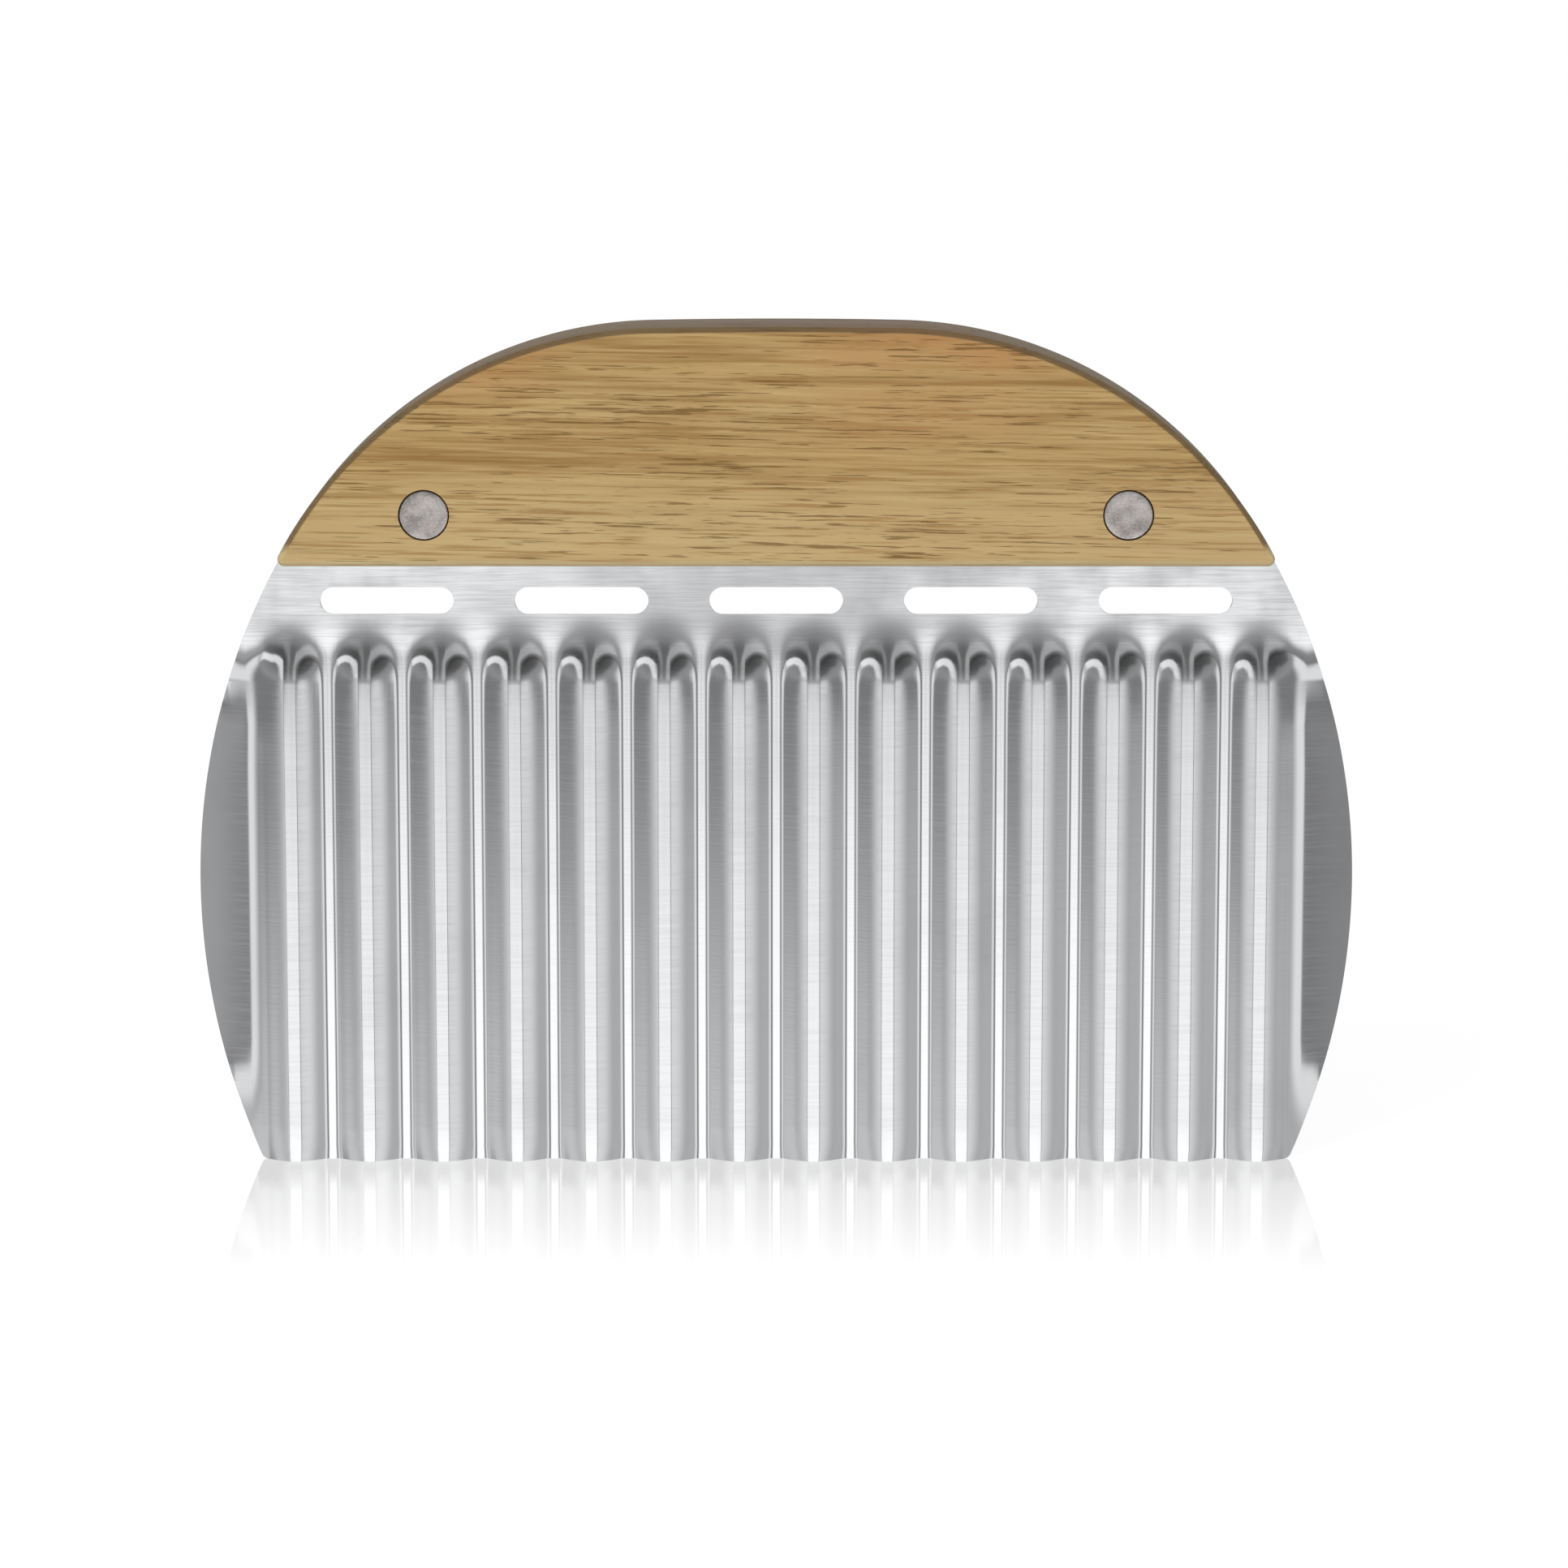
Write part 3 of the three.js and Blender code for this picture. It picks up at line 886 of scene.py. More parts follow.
@dataclass
class Blade:
    """The corrugated sheet: waves, plain wings, slotted band, ground edge and tang."""

    width: float
    showing: float
    widest_height: float = 36.3
    side_radius: float = 87.0
    corner_radius: float = 1.0
    thickness: float = 0.8
    edge_thickness: float = 0.25
    edge_bevel_height: float = 1.8
    wave_count: int = 14
    wave_pitch: float = 9.62
    crown_radius: float = 4.6
    crown_slope: float = math.radians(8)
    crease_radius: float = 0.3
    ridge_slope: float = math.radians(24)
    flank_slope: float = math.radians(36)
    valley_radius: float = 2.4
    wave_height: float = 62.6
    fade_length: float = 3.7
    fade_power: float = 2.6
    fade_cut: float = 2.0
    even_below: float = 2.0
    even_above: float = 1.5
    even_past_ridge: Point2 = (1.2, 2.8)
    flat_band_height: float = 6.1
    wing_flank_slope: float = math.radians(34.7)
    wing_bend_radius: float = 9.0
    wing_tilt: float = math.radians(16)
    wing_tip_tilt: float = math.radians(13)
    flare_height: float = 14.0
    flare_slope: float = math.radians(31)
    bulge_from: float = 62.5
    bulge_to: float = 73.0
    bulge: float = 0.3
    bulge_foot: float = 0.82
    lean_from: float = 60.0
    lean: float = 0.5
    lean_run: float = 9.0
    lean_below: float = 5.0
    lean_above: float = 1.0
    slot_count: int = 5
    slot_pitch: float = 25.0
    slot_length: float = 17.2
    slot_height: float = 3.5
    slot_drop: float = 5.2
    tang_height: float = 15.0
    tang_root_half: float = 60.05
    tang_top_half: float = 50.25
    shoulder_gap: float = 0.2
    rivet_hole_radius: float = 2.4
    crown_steps: int = 3
    bend_steps: int = 6
    flank_steps: int = 5
    wing_steps: int = 14
    fade_steps: int = 28
    straight_steps: int = 22
    corner_steps: int = 6
    side_steps: int = 96
    slot_steps: int = 20
    hole_steps: int = 32
    overshoot: float = 0.4
    tip_overshoot: float = 1.6
    punch_reach: float = 8.0
    crisp_angle: float = 30.0

    def half_width(self, height: float) -> float:
        """Gives half the width at a height, on the side arc."""
        offset = height - self.widest_height
        return self.width / 2 - self.side_radius + math.sqrt(self.side_radius ** 2 - offset ** 2)

    def ridge_side(self, steepest: float) -> list[Point2]:
        """Gives one side of a ridge, down to where its flank is steepest.

        Args:
            steepest: Slope of the flank there.

        Returns:
            How far across and how far back each point is from the ridge's middle.
        """
        points = [(0.0, 0.0)]
        points += bend(points[-1], (0, self.crown_slope), self.crown_radius, self.crown_steps)
        shoulder = (self.crown_slope, self.ridge_slope)
        points += bend(points[-1], shoulder, self.crease_radius, self.bend_steps)
        run = self.wave_pitch / 2 - points[-1][0] - self.valley_radius * math.sin(self.flank_slope)
        flank_radius = run / (math.sin(self.flank_slope) - math.sin(self.ridge_slope))
        points += bend(points[-1], (self.ridge_slope, steepest), flank_radius, self.flank_steps)
        return points

    def section(self) -> list[Point2]:
        """Gives the middle of the sheet across the waves.

        Returns:
            X and Y of each point, from the left wing's tip to the right wing's tip.
        """
        side = self.ridge_side(self.flank_slope)
        side += bend(side[-1], (self.flank_slope, 0), self.valley_radius, self.bend_steps)
        depth = side[-1][1]
        right = []
        for i in range(self.wave_count // 2):
            ridge_x = (i + 0.5) * self.wave_pitch
            outer = side if i + 1 < self.wave_count // 2 else self.wing(self.width / 2 - ridge_x)
            right += [(ridge_x - across, back - depth) for across, back in side[:0:-1]]
            right += [(ridge_x + across, back - depth) for across, back in outer[:-1]]
        left = [(-x, y) for x, y in right[:0:-1]]
        return left + right

    def wing(self, reach: float) -> list[Point2]:
        """Gives the outermost side: ridge, flank, wide bend and a faintly hollow run past the tip.

        Args:
            reach: From the outermost ridge's middle to the blade's widest place.

        Returns:
            How far across and how far back each point is from the ridge's middle.
        """
        points = self.ridge_side(self.wing_flank_slope)
        slopes = (self.wing_flank_slope, self.wing_tilt)
        points += bend(points[-1], slopes, self.wing_bend_radius, self.wing_steps)
        across, back = points[-1]
        step = (reach + self.tip_overshoot - across) / self.wing_steps
        turn = self.wing_tip_tilt - self.wing_tilt
        for i in range(self.wing_steps):
            slope = self.wing_tilt + turn * (i + 0.5) / self.wing_steps
            across, back = across + step, back + step * math.tan(slope)
            points.append((across, back))
        return points

    def fade(self, height: float) -> float:
        """Gives what is left of the waves' depth at a height.

        Args:
            height: Height above the cutting edge.

        Returns:
            Share of the depth, 1 on the waves and 0 on the flat band.
        """
        above = max(height - self.wave_height, 0)
        top = self.showing - self.flat_band_height
        share = 1 / (1 + (above / self.fade_length) ** self.fade_power)
        return share * (1 - smooth(height, self.wave_height + self.fade_cut, top))

    def rows(self) -> list[float]:
        """Gives the heights of the sheet's rows.

        Returns:
            The heights, from the edge up.
        """
        low, foot = self.edge_bevel_height, self.wave_height
        top = self.showing - self.flat_band_height
        rows = [-self.overshoot]
        rows += [low + (foot - low) * i / self.straight_steps for i in range(self.straight_steps)]
        rows += [foot + (top - foot) * i / self.fade_steps for i in range(self.fade_steps + 1)]
        rows.append(self.showing + self.tang_height + self.overshoot)
        return rows

    def outline(self) -> list[Point2]:
        """Gives the outline of the blade with its tang.

        Returns:
            X and Z of each point.
        """
        near = 2 * self.corner_radius
        beside = (self.half_width(near), near)
        right = rounded_corner((0, 0), (self.half_width(0), 0), beside, self.corner_radius,
                               self.corner_steps)
        shoulder = self.showing - self.shoulder_gap
        start = math.asin((near - self.widest_height) / self.side_radius)
        end = math.asin((shoulder - self.widest_height) / self.side_radius)
        centre = (self.width / 2 - self.side_radius, self.widest_height)
        right += arc(centre, self.side_radius, start, end, self.side_steps)
        right.append((self.tang_root_half, shoulder))
        right.append((self.tang_top_half, self.showing + self.tang_height))
        return mirrored(right)

    def slot_outline(self, index: int) -> list[Point2]:
        """Gives the round-ended outline of one slot.

        Args:
            index: Number of the slot, from the left.

        Returns:
            X and Z of each point.
        """
        x = (index - (self.slot_count - 1) / 2) * self.slot_pitch
        z = self.showing - self.slot_drop
        radius = self.slot_height / 2
        straight = self.slot_length / 2 - radius
        right = arc((x + straight, z), radius, -math.pi / 2, math.pi / 2, self.slot_steps)
        left = arc((x - straight, z), radius, math.pi / 2, 1.5 * math.pi, self.slot_steps)
        return right + left

    def press(self) -> bpy.types.Object:
        """Draws the wave section and extrudes it up, row by row, until the ridges run out.

        Returns:
            The open sheet, in object mode.
        """
        rows = self.rows()
        sheet = Bench.thread("blade_fine", [(x, y, rows[0]) for x, y in self.section()])
        for low, high in zip(rows, rows[1:]):
            bpy.ops.mesh.extrude_region_move(
                TRANSFORM_OT_translate={"value": (0, 0, (high - low) * MM)})
            depth, next_depth = self.fade(low), self.fade(high)
            if depth > 0 and next_depth != depth:
                bpy.ops.transform.resize(value=(1, next_depth / depth, 1),
                                         center_override=(0, 0, 0))
        Bench.face_outwards()
        bpy.ops.object.mode_set(mode="OBJECT")
        return sheet

    @staticmethod
    def push(sheet: bpy.types.Object, distance: float,
             share: Callable[[float, float, float], float]) -> None:
        """Moves a part of the sheet towards the back.

        Args:
            sheet: The open sheet.
            distance: Farthest move in millimetres, negative towards the front.
            share: Share of the move at an X to either side, a Y and a height.
        """
        group = sheet.vertex_groups.new(name="push")
        for vertex in sheet.data.vertices:
            x, y, z = vertex.co / MM
            group.add([vertex.index], min(max(share(abs(x), y, z), 0), 1), "REPLACE")
        Bench.apply(sheet, "DISPLACE", direction="Y", mid_level=0.0, vertex_group=group.name,
                    strength=distance * MM)
        sheet.vertex_groups.clear()

    def outermost_ridge(self) -> float:
        """Gives how far the outermost ridges are from the middle."""
        return (self.wave_count // 2 - 0.5) * self.wave_pitch

    def soften_ends(self, sheet: bpy.types.Object) -> None:
        """Lets the waves turn into even, round ones where they run out.

        Args:
            sheet: The open sheet.
        """
        depth = max(-y for _, y in self.section())
        low, high = self.wave_height - self.even_below, self.wave_height + self.even_above
        inner, outer = (self.outermost_ridge() + past for past in self.even_past_ridge)
        farthest = 1.0

        def back(x: float, y: float, z: float) -> float:
            """Gives how far the sheet goes back, or forwards where it is negative.

            Args:
                x: Distance from the middle.
                y: Place from front to back.
                z: Height.

            Returns:
                Share of the farthest move.
            """
            turns = x / self.wave_pitch
            even = -0.5 * depth * (1 - math.cos(2 * math.pi * turns)) * self.fade(z)
            return (even - y) * smooth(z, low, high) * (1 - smooth(x, inner, outer)) / farthest

        def forwards(x: float, y: float, z: float) -> float:
            """Gives how far the sheet goes forwards."""
            return -back(x, y, z)

        self.push(sheet, farthest, back)
        self.push(sheet, -farthest, forwards)

    def shape_wings(self, sheet: bpy.types.Object) -> None:
        """Bends the wings' lower corners back, their upper ends forwards and the plate's ends back.

        Args:
            sheet: The open sheet.
        """
        low, high = self.bulge_foot * self.wave_height, self.wave_height
        across, back = self.ridge_side(self.wing_flank_slope)[-1]
        root_x = self.outermost_ridge() + across
        root_y = min(y for _, y in self.section()) + back
        lean_length = self.width / 2 + self.tip_overshoot - self.lean_from
        lean_low, lean_high = high - self.lean_below, high + self.lean_above
        farthest = 6.0

        def flare(x: float, y: float, z: float) -> float:
            """Lets the outermost flank run on straight at the lower corners.

            Args:
                x: Distance from the middle.
                y: Place from front to back.
                z: Height.

            Returns:
                Share of the farthest move.
            """
            if x <= root_x:
                return 0.0
            straight = root_y + (x - root_x) * math.tan(self.flare_slope)
            return (straight - y) / farthest * smooth(-z, -self.flare_height, 0)

        def bulge(x: float, _y: float, z: float) -> float:
            """Grows outwards and upwards at the wings' upper ends."""
            outwards = smooth(x, self.bulge_from, self.bulge_to)
            return outwards * smooth(z, low, high) * self.fade(z)

        def lean(x: float, _y: float, z: float) -> float:
            """Grows outwards on the flat ends beside the handle."""
            outwards = max(x - self.lean_from, 0) / lean_length
            return outwards ** 2 * smooth(z, lean_low, lean_high)

        self.push(sheet, farthest, flare)
        self.push(sheet, -self.bulge, bulge)
        self.push(sheet, self.lean * (lean_length / self.lean_run) ** 2, lean)

    def thicken(self, sheet: bpy.types.Object) -> None:
        """Gives the sheet its thickness, ground down towards the cutting edge.

        Args:
            sheet: The open sheet.
        """
        group = sheet.vertex_groups.new(name="sheet")
        grind = (self.thickness - self.edge_thickness) / self.edge_bevel_height
        for vertex in sheet.data.vertices:
            above = min(vertex.co.z / MM, self.edge_bevel_height)
            share = (self.edge_thickness + above * grind) / self.thickness
            group.add([vertex.index], share, "REPLACE")
        Bench.apply(sheet, "SOLIDIFY", thickness=self.thickness * MM, offset=0.0,
                    vertex_group=group.name, use_rim=True)
        sheet.vertex_groups.clear()

    def build(self, rivet_places: Sequence[Point2]) -> bpy.types.Object:
        """Makes the whole blade.

        Args:
            rivet_places: X and Z of the rivets.

        Returns:
            The finished mesh.
        """
        sheet = self.press()
        self.soften_ends(sheet)
        self.shape_wings(sheet)
        self.thicken(sheet)
        reach = self.punch_reach
        Bench.cut(sheet, Bench.slab("blank", self.outline(), -reach, reach), Cut.KEEP_INSIDE)
        openings = [self.slot_outline(i) for i in range(self.slot_count)]
        openings += [arc(place, self.rivet_hole_radius, 0, 2 * math.pi, self.hole_steps)[:-1]
                     for place in rivet_places]
        punches = [Bench.slab("punch", opening, -reach, reach) for opening in openings]
        Bench.cut(sheet, Bench.join(punches), Cut.TAKE_AWAY)
        Bench.smooth(sheet, self.crisp_angle)
        return sheet


@dataclass
class Handle:
    """The half-moon wooden board with its tang slot and rivet holes."""

    bottom: float
    top: float
    thickness: float
    width: float = 128.1
    top_radius: float = 800.0
    shoulder_radius: float = 55.0
    edge_rounding: float = 1.1
    corner_radius: float = 0.9
    slot_width: float = 1.2
    slot_root_half: float = 60.25
    slot_top_half: float = 50.45
    slot_height: float = 15.2
    overshoot: float = 0.5
    corner_steps: int = 8
    shoulder_steps: int = 64
    top_steps: int = 12
    edge_steps: int = 6
    edge_angle: float = 60.0
    hole_steps: int = 64
    crisp_angle: float = 30.0

    def shoulder_centre(self) -> Vector:
        """Places the right shoulder arc, tangent to the top arc and through the corner.

        Returns:
            X and Z of the arc's centre.
        """
        top_centre = Vector((0, self.top - self.top_radius))
        corner = Vector((self.width / 2, self.bottom))
        reach = self.top_radius - self.shoulder_radius
        line = corner - top_centre
        distance = line.length
        along = (distance ** 2 + reach ** 2 - self.shoulder_radius ** 2) / (2 * distance)
        aside = math.sqrt(reach ** 2 - along ** 2)
        direction = line / distance
        return top_centre + direction * along + Vector((-direction.y, direction.x)) * aside

    def outline(self) -> list[Point2]:
        """Gives the half-moon outline.

        Returns:
            X and Z of each point.
        """
        shoulder = self.shoulder_centre()
        top_centre = Vector((0, self.top - self.top_radius))
        to_tangent = shoulder - top_centre
        tangent = math.atan2(to_tangent.y, to_tangent.x)
        near = self.bottom + 2 * self.corner_radius
        lift = near - shoulder.y
        beside = (shoulder.x + math.sqrt(self.shoulder_radius ** 2 - lift ** 2), near)
        start = math.atan2(lift, beside[0] - shoulder.x)
        right = rounded_corner((0, self.bottom), (self.width / 2, self.bottom), beside,
                               self.corner_radius, self.corner_steps)
        right += arc(tuple(shoulder), self.shoulder_radius, start, tangent, self.shoulder_steps)
        right += arc(tuple(top_centre), self.top_radius, tangent, math.pi / 2, self.top_steps)[1:]
        return mirrored(right)

    def build(self, hole: Sequence[Point2], rivet_places: Sequence[Point2]) -> bpy.types.Object:
        """Makes the handle.

        Args:
            hole: Profile of a rivet hole, radius and Y.
            rivet_places: X and Z of the rivets.

        Returns:
            The finished mesh.
        """
        half = self.thickness / 2
        board = Bench.slab("handle_fine", self.outline(), -half, half)
        Bench.apply(board, "BEVEL", width=self.edge_rounding * MM, segments=self.edge_steps,
                    limit_method="ANGLE", angle_limit=math.radians(self.edge_angle))
        slot = mirrored([(self.slot_root_half, self.bottom - self.overshoot),
                         (self.slot_top_half, self.bottom + self.slot_height)])
        saw = Bench.slab("saw", slot, -self.slot_width / 2, self.slot_width / 2)
        Bench.cut(board, saw, Cut.TAKE_AWAY)
        drills = [Bench.turned("drill", hole, place, self.hole_steps) for place in rivet_places]
        Bench.cut(board, Bench.join(drills), Cut.TAKE_AWAY)
        Bench.smooth(board, self.crisp_angle)
        return board


@dataclass
class Rivet:
    """A flush two-piece rivet: a head with a hollow post in front, a head with a pin behind."""

    head_radius: float
    face: float
    head_thickness: float = 1.4
    post_radius: float = 2.2
    bore_radius: float = 1.4
    pin_radius: float = 1.2
    bore_floor: float = 1.0
    clearance: float = 0.2
    gap: float = 0.1
    rim: float = 0.22
    dish: float = 0.07
    dish_shape: tuple[Point2, ...] = ((0.0, 1.0), (0.35, 0.8), (0.7, 0.3))
    steps: int = 72
    rim_steps: int = 5
    crisp_angle: float = 35.0

    @property
    def seat(self) -> float:
        """Gives how far the inner side of a head is from the middle of the handle."""
        return self.face - self.head_thickness

    def head(self) -> list[Point2]:
        """Gives a head's profile, with its outside at a positive Y.

        Returns:
            Radius and Y of each point, from the axis to the seat.
        """
        dished = [(reach * self.head_radius, self.face - depth * self.dish)
                  for reach, depth in self.dish_shape]
        rim_centre = (self.head_radius - self.rim, self.face - self.rim)
        edge = arc(rim_centre, self.rim, math.pi / 2, 0, self.rim_steps)
        return [*dished, *edge, (self.head_radius, self.seat)]

    def post(self, name: str, place: Point2) -> bpy.types.Object:
        """Makes a front half.

        Args:
            name: Name of the piece.
            place: X and Z of the axis.

        Returns:
            The finished mesh.
        """
        end = self.seat - self.clearance
        floor = -self.seat + self.bore_floor
        profile = [(radius, -y) for radius, y in self.head()]
        profile += [(self.post_radius, -self.seat), (self.post_radius, end),
                    (self.bore_radius, end), (self.bore_radius, floor), (0, floor)]
        piece = Bench.turned(name, profile, place, self.steps)
        Bench.smooth(piece, self.crisp_angle)
        return piece

    def pin(self, name: str, place: Point2) -> bpy.types.Object:
        """Makes a rear half.

        Args:
            name: Name of the piece.
            place: X and Z of the axis.

        Returns:
            The finished mesh.
        """
        end = -self.seat + self.bore_floor + self.clearance
        profile = [*self.head(), (self.pin_radius, self.seat), (self.pin_radius, end), (0, end)]
        piece = Bench.turned(name, profile, place, self.steps)
        Bench.smooth(piece, self.crisp_angle)
        return piece

    def hole(self, face: float) -> list[Point2]:
        """Gives the profile of the hole in the handle.

        Args:
            face: Y beyond the handle's rear face.

        Returns:
            Radius and Y from the front to the rear.
        """
        wide = self.head_radius + self.gap
        narrow = self.post_radius + self.clearance
        floor = self.seat - self.clearance
        half = [(0, face), (wide, face), (wide, floor), (narrow, floor)]
        return [(radius, -y) for radius, y in half] + half[::-1]


@dataclass(frozen=True)
class MirroredRoom:
    """What the steel mirrors: dim walls with flags, a low card in front, panels and lamps.

    A turn is an angle to either side and a rise or a fall an angle up or down, in degrees. Two
    angles are where a patch starts and where it is full, and four also give where it ends.
    """

    wall: float = 0.14
    low_wall: float = 0.16
    low_wall_rise: Point2 = (-2.0, 32.0)
    low_rise: Point2 = (-6.0, 2.0)
    high_rise: Span = (-2.0, 6.0, 50.0, 65.0)
    line: float = 0.2
    line_turn: Span = (34.0, 37.0, 38.0, 41.0)
    flag: float = 0.15
    flag_turn: Span = (24.0, 32.0, 38.0, 42.0)
    flag_side: Point2 = (-4.0, 4.0)
    left_flag: float = 0.45
    left_flag_turn: Span = (20.0, 27.0, 36.0, 40.0)
    right_flag: float = 0.5
    right_flag_turn: Span = (30.0, 36.0, 54.0, 60.0)
    right_flag_rise: Point2 = (4.0, 14.0)
    corner: float = 0.3
    corner_turn: Point2 = (52.0, 64.0)
    card: float = 0.89
    card_turn: Point2 = (22.0, 31.0)
    card_fall: Point2 = (2.5, 12.0)
    lens: float = 0.3
    lens_turn: Point2 = (1.0, 4.5)
    lens_fall: Point2 = (8.0, 9.5)
    panel: float = 0.52
    panel_turn: Point2 = (38.0, 42.0)
    left_panel_end: Point2 = (47.0, 60.0)
    right_panel_end: Point2 = (50.0, 66.0)
    strip: float = 0.07
    strip_turn: Span = (24.0, 28.0, 34.0, 38.0)
    left_side: float = 0.4
    left_side_turn: Point2 = (52.0, 64.0)
    left_side_end: Point2 = (69.0, 78.0)
    left_side_drop: float = 0.75
    left_side_fall: Point2 = (7.5, 13.0)
    right_side: float = 0.26
    right_side_turn: Point2 = (52.0, 68.0)
    right_side_end: Point2 = (71.0, 80.0)
    right_side_drop: float = 0.5
    right_side_fall: Point2 = (6.5, 10.0)
    box: float = 0.65
    box_turn: Span = (37.0, 41.0, 50.0, 54.0)
    box_rise: Span = (-3.0, 6.0, 58.0, 68.0)
    right_glow: float = 0.25
    right_glow_turn: Span = (8.0, 14.0, 25.0, 31.0)
    left_glow: float = 0.12
    left_glow_turn: Span = (6.0, 10.0, 15.0, 21.0)
    backdrop: float = 0.75
    backdrop_start: Point2 = (2.0, 6.0)
    backdrop_rise: Point2 = (0.0, 3.0)
    back_card_drop: float = 0.45
    back_panel_drop: float = 0.25

    def walls(self, turn: Value, rise: Value) -> Value:
        """Gives the dim walls, darker where a flag hangs.

        Args:
            turn: Angle to the right.
            rise: Angle upwards.

        Returns:
            Brightness in that direction.
        """
        aside = abs(turn)
        low = 1 - rise.ease_degrees(*self.low_rise)
        high = rise.span_degrees(*self.high_rise)
        left = (-turn).span_degrees(*self.left_flag_turn) * self.left_flag
        right = turn.span_degrees(*self.right_flag_turn) * rise.ease_degrees(*self.right_flag_rise)
        line = aside.span_degrees(*self.line_turn) * self.line
        flag = aside.span_degrees(*self.flag_turn) * turn.ease_degrees(*self.flag_side) * self.flag
        corner = aside.ease_degrees(*self.corner_turn) * low * self.corner
        walls = self.wall + (1 - rise.ease_degrees(*self.low_wall_rise)) * self.low_wall
        walls = walls * (1 - high * (left + right * self.right_flag))
        return walls * (1 - line) * (1 - flag) * (1 - corner)

    def low_card(self, turn: Value, rise: Value) -> Value:
        """Gives the card in front, with the camera's lens dark in its middle.

        Args:
            turn: Angle to the right.
            rise: Angle upwards.

        Returns:
            Brightness in that direction.
        """
        aside, fall = abs(turn), -rise
        lens = 1 - aside.ease_degrees(*self.lens_turn)
        lens = lens * (1 - fall.ease_degrees(*self.lens_fall)) * self.lens
        card = (1 - aside.ease_degrees(*self.card_turn)) * fall.ease_degrees(*self.card_fall)
        return card * (self.card - lens)

    def panels(self, turn: Value, rise: Value) -> Value:
        """Gives the panels to both sides of the card.

        Args:
            turn: Angle to the right.
            rise: Angle upwards.

        Returns:
            Brightness in that direction.
        """
        low = 1 - rise.ease_degrees(*self.low_rise)
        panel = abs(turn).ease_degrees(*self.panel_turn)
        panel = panel * (1 - (-turn).ease_degrees(*self.left_panel_end))
        panel = panel * (1 - turn.ease_degrees(*self.right_panel_end))
        strip = (-turn).span_degrees(*self.strip_turn)
        return panel * low * self.panel + strip * low * self.strip

    def sides(self, turn: Value, rise: Value) -> Value:
        """Gives the low lights far to the left and to the right.

        Args:
            turn: Angle to the right.
            rise: Angle upwards.

        Returns:
            Brightness in that direction.
        """
        to_left, fall = -turn, -rise
        left = 1 - to_left.ease_degrees(*self.left_side_end) * self.left_side_drop
        left = left * to_left.ease_degrees(*self.left_side_turn)
        left = left * fall.ease_degrees(*self.left_side_fall) * self.left_side
        right = 1 - turn.ease_degrees(*self.right_side_end) * self.right_side_drop
        right = right * turn.ease_degrees(*self.right_side_turn)
        right = right * fall.ease_degrees(*self.right_side_fall) * self.right_side
        return left + right

    def boxes(self, turn: Value, rise: Value) -> Value:
        """Gives the soft box high on the left and the two glows beside the middle.

        Args:
            turn: Angle to the right.
            rise: Angle upwards.

        Returns:
            Brightness in that direction.
        """
        high = rise.span_degrees(*self.high_rise)
        box = (-turn).span_degrees(*self.box_turn) * rise.span_degrees(*self.box_rise) * self.box
        right = turn.span_degrees(*self.right_glow_turn) * high * self.right_glow
        left = (-turn).span_degrees(*self.left_glow_turn) * high * self.left_glow
        return box + right + left

    def level(self, turn: Value, rise: Value, backwards: Value) -> Value:
        """Adds up the room, which is plainer behind the cutter.

        Args:
            turn: Angle to the right.
            rise: Angle upwards.
            backwards: Part of the direction that goes to the back.

        Returns:
            Brightness in that direction.
        """
        back = backwards.ease_degrees(*self.backdrop_start)
        backdrop = back * rise.ease_degrees(*self.backdrop_rise) * self.backdrop
        card = self.low_card(turn, rise) * (1 - back * self.back_card_drop)
        panels = self.panels(turn, rise) * (1 - back * self.back_panel_drop)
        boxes = self.boxes(turn, rise) * (1 - back)
        return self.walls(turn, rise) + card + panels + self.sides(turn, rise) + boxes + backdrop


@dataclass(frozen=True)
class Lamp:
    """A soft square lamp that faces the cutter, with its place and side in metres."""

    name: str
    place: Point3
    size: float
    power: float
    target: Point3 = (0.0, 0.0, 0.06)

    def hang(self) -> None:
        """Hangs the lamp."""
        data = bpy.data.lights.new(self.name, "AREA")
        data.size = self.size
        data.energy = self.power
        lamp = bpy.data.objects.new(self.name, data)
        lamp.location = self.place
        to_cutter = Vector(self.target) - lamp.location
        lamp.rotation_euler = to_cutter.to_track_quat("-Z", "Y").to_euler()
        lamp.visible_glossy = False
        bpy.context.scene.collection.objects.link(lamp)


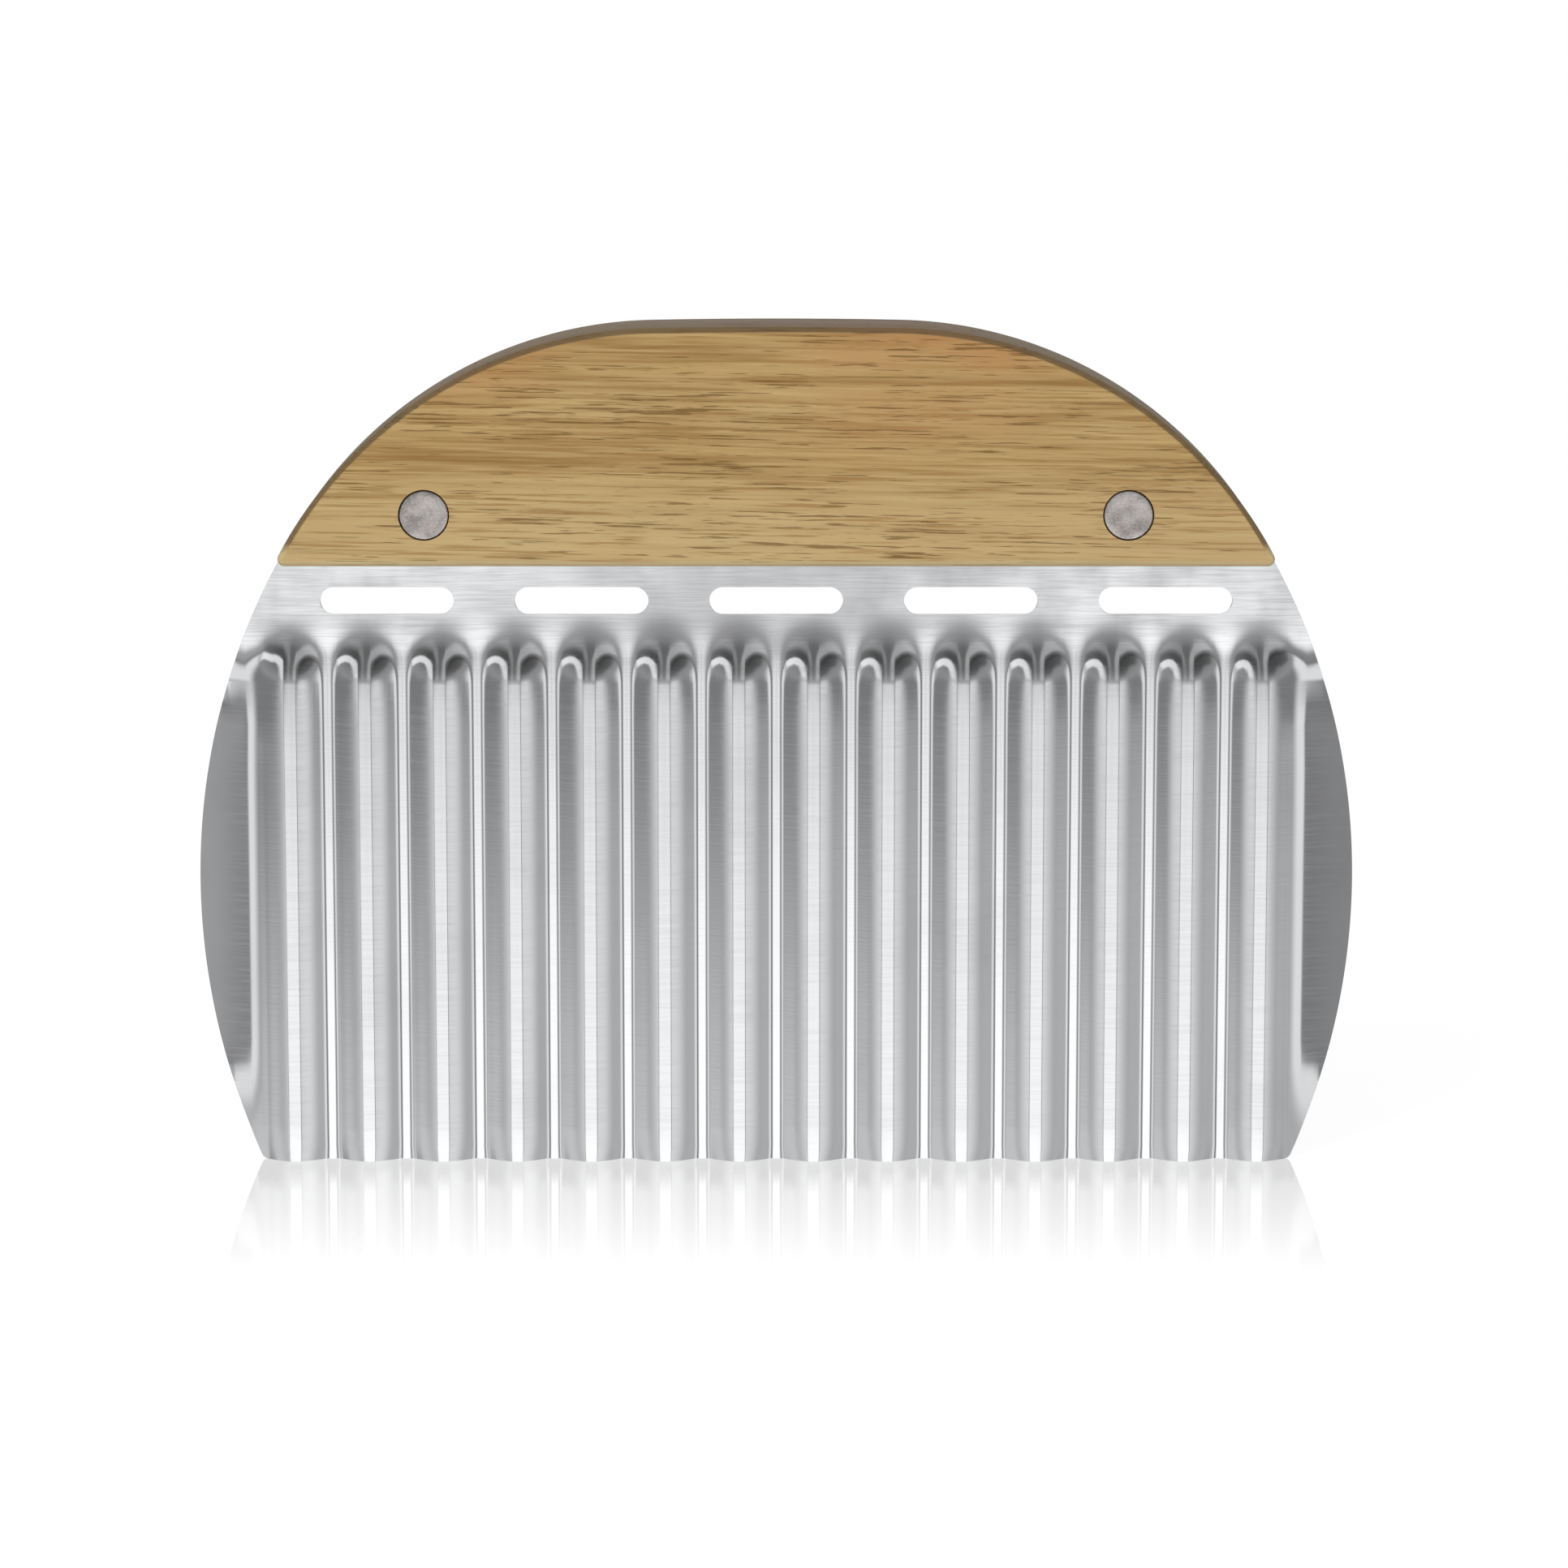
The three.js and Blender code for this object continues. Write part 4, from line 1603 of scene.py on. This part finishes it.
@dataclass
class Studio:
    """Floor, soft light and camera."""

    aim: Point3 = (1.0, 0.0, 49.4)
    distance: float = 750.0
    elevation: float = math.radians(9)
    pixels_per_mm: float = 9.541
    image_pixels: float = 1932.0
    fill: float = 0.52
    room: MirroredRoom = MirroredRoom()
    second_bounce: Point2 = (2.4, 2.6)
    lamps: tuple[Lamp, ...] = (Lamp("key", (-0.9, -1.2, 1.0), 0.9, 11.0),
                               Lamp("front", (0.5, -1.8, 0.5), 1.2, 9.5))
    floor_size: float = 6.0
    floor_shade: float = 0.45
    floor_glow: float = 0.74
    floor_roughness: float = 0.6
    floor_in_mirrors: float = 0.9
    white_from: Point2 = (100.0, 500.0)
    mirror_share: float = 0.42
    mirror_front: Point2 = (-85.0, -2.0)
    mirror_back: Point2 = (-1.0, 1.0)
    mirror_half: Point2 = (72.0, 84.0)
    mirror_roughness: float = 0.03

    def camera(self) -> None:
        """Stands the camera in front of the blade, a little above it."""
        data = bpy.data.cameras.new("camera")
        data.sensor_fit = "HORIZONTAL"
        data.lens = self.pixels_per_mm * self.distance / self.image_pixels * data.sensor_width
        camera = bpy.data.objects.new("camera", data)
        bpy.context.scene.collection.objects.link(camera)
        back = Vector((0, -math.cos(self.elevation), math.sin(self.elevation)))
        camera.location = (Vector(self.aim) + back * self.distance) * MM
        camera.rotation_euler = back.to_track_quat("Z", "Y").to_euler()
        bpy.context.scene.camera = camera

    def floor(self) -> None:
        """Lays the floor."""
        Bench.clear()
        bpy.ops.mesh.primitive_plane_add(size=self.floor_size)
        floor = bpy.context.object
        floor.name = "floor"
        floor.visible_glossy = False
        material = bpy.data.materials.new("floor")
        material.use_nodes = True
        self.paint_floor(ShaderGraph(material.node_tree))
        floor.data.materials.append(material)

    def paint_floor(self, graph: ShaderGraph) -> None:
        """Makes the floor white, with the shadow and a faint reflection of the blade.

        Args:
            graph: Empty tree of the floor's material.
        """
        white = grey(1.0)
        paper = {"Roughness": self.floor_roughness, "Specular IOR Level": 0.0}
        x, y, _ = graph.axes("Object")
        near = y.ease_mm(*self.mirror_front) * (1 - y.ease_mm(*self.mirror_back))
        near = near * (1 - abs(x).ease_mm(*self.mirror_half))
        shown = graph.shader("ShaderNodeBsdfPrincipled", {
            **paper, "Base Color": grey(self.floor_shade),
            "Emission Color": white, "Emission Strength": self.floor_glow})
        mirror = graph.shader("ShaderNodeBsdfAnisotropic",
                              {"Color": white, "Roughness": self.mirror_roughness})
        glow = graph.shader("ShaderNodeEmission", {"Color": white})
        plain = graph.shader("ShaderNodeBsdfPrincipled",
                             {**paper, "Base Color": grey(self.floor_in_mirrors)})
        camera_ray = graph.add("ShaderNodeLightPath").outputs["Is Camera Ray"]
        shown = graph.blend(near * self.mirror_share, shown, mirror)
        shown = graph.blend(y.ease_mm(*self.white_from), shown, glow)
        graph.end("ShaderNodeOutputMaterial", graph.blend(camera_ray, plain, shown))

    def world(self) -> None:
        """Lights the cutter from all round and gives reflections a room of their own."""
        world = bpy.data.worlds.new("studio")
        world.use_nodes = True
        bpy.context.scene.world = world
        graph = ShaderGraph(world.node_tree)
        x, y, z = graph.axes("Generated")
        path = graph.add("ShaderNodeLightPath").outputs
        camera_ray = Value(graph, path["Is Camera Ray"])
        glossy_ray = Value(graph, path["Is Glossy Ray"])
        # The blade in the floor's mirror image shows the same low room as the blade itself.
        again = Value(graph, path["Ray Depth"]).ease(*self.second_bounce)
        turn = x.math("ARCTAN2", abs(y))
        rise = (z * (1 - again) - abs(z) * again).math("ARCSINE")
        soft = (1 - camera_ray - glossy_ray) * self.fill
        shade = camera_ray + glossy_ray * self.room.level(turn, rise, y) + soft
        graph.end("ShaderNodeOutputWorld", graph.shader("ShaderNodeBackground", {"Color": shade}))

    def build(self) -> None:
        """Sets the whole stage."""
        self.camera()
        self.floor()
        self.world()
        for lamp in self.lamps:
            lamp.hang()
        bpy.context.scene.view_settings.view_transform = "Standard"


def in_mm(corner: Vector) -> Vector:
    """Gives a corner of a node's box in millimetres."""
    return corner / MM


def main() -> None:
    """Builds the stage and every piece."""
    logging.basicConfig(level=logging.INFO, format="%(name)s: %(message)s")
    Studio().build()

    blade_low, blade_high = map(in_mm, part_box("blade"))
    handle_low, handle_high = map(in_mm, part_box("handle"))
    axes: dict[Side, Point2] = {}
    for side in Side:
        low, high = map(in_mm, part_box(f"{side.name.lower()}_rivet_post"))
        axes[side] = ((low.x + high.x) / 2, (low.z + high.z) / 2)
    places = list(axes.values())
    post_low, post_high = map(in_mm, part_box("left_rivet_post"))
    rivet = Rivet(head_radius=(post_high.x - post_low.x) / 2, face=-post_low.y)

    steel = BrushedSteel()
    wood = HoneyWood()
    rivet_metal = MottledMetal()

    blade = Blade(width=blade_high.x - blade_low.x, showing=handle_low.z)
    Piece(blade.build(places), steel, "blade").hand_over()

    handle = Handle(bottom=handle_low.z, top=handle_high.z,
                    thickness=handle_high.y - handle_low.y)
    hole = rivet.hole(handle_high.y + handle.overshoot)
    Piece(handle.build(hole, places), wood, "handle").hand_over()

    left_x, _ = axes[Side.LEFT]
    right_x, _ = axes[Side.RIGHT]
    for make, half in ((rivet.post, "post"), (rivet.pin, "pin")):
        first = make(f"left_rivet_{half}_fine", axes[Side.LEFT])
        second = Bench.copy_beside(first, f"right_rivet_{half}_fine", right_x - left_x)
        Piece(first, rivet_metal, f"left_rivet_{half}").hand_over()
        Piece(second, rivet_metal, f"right_rivet_{half}").hand_over()


if __name__ == "__main__":
    main()
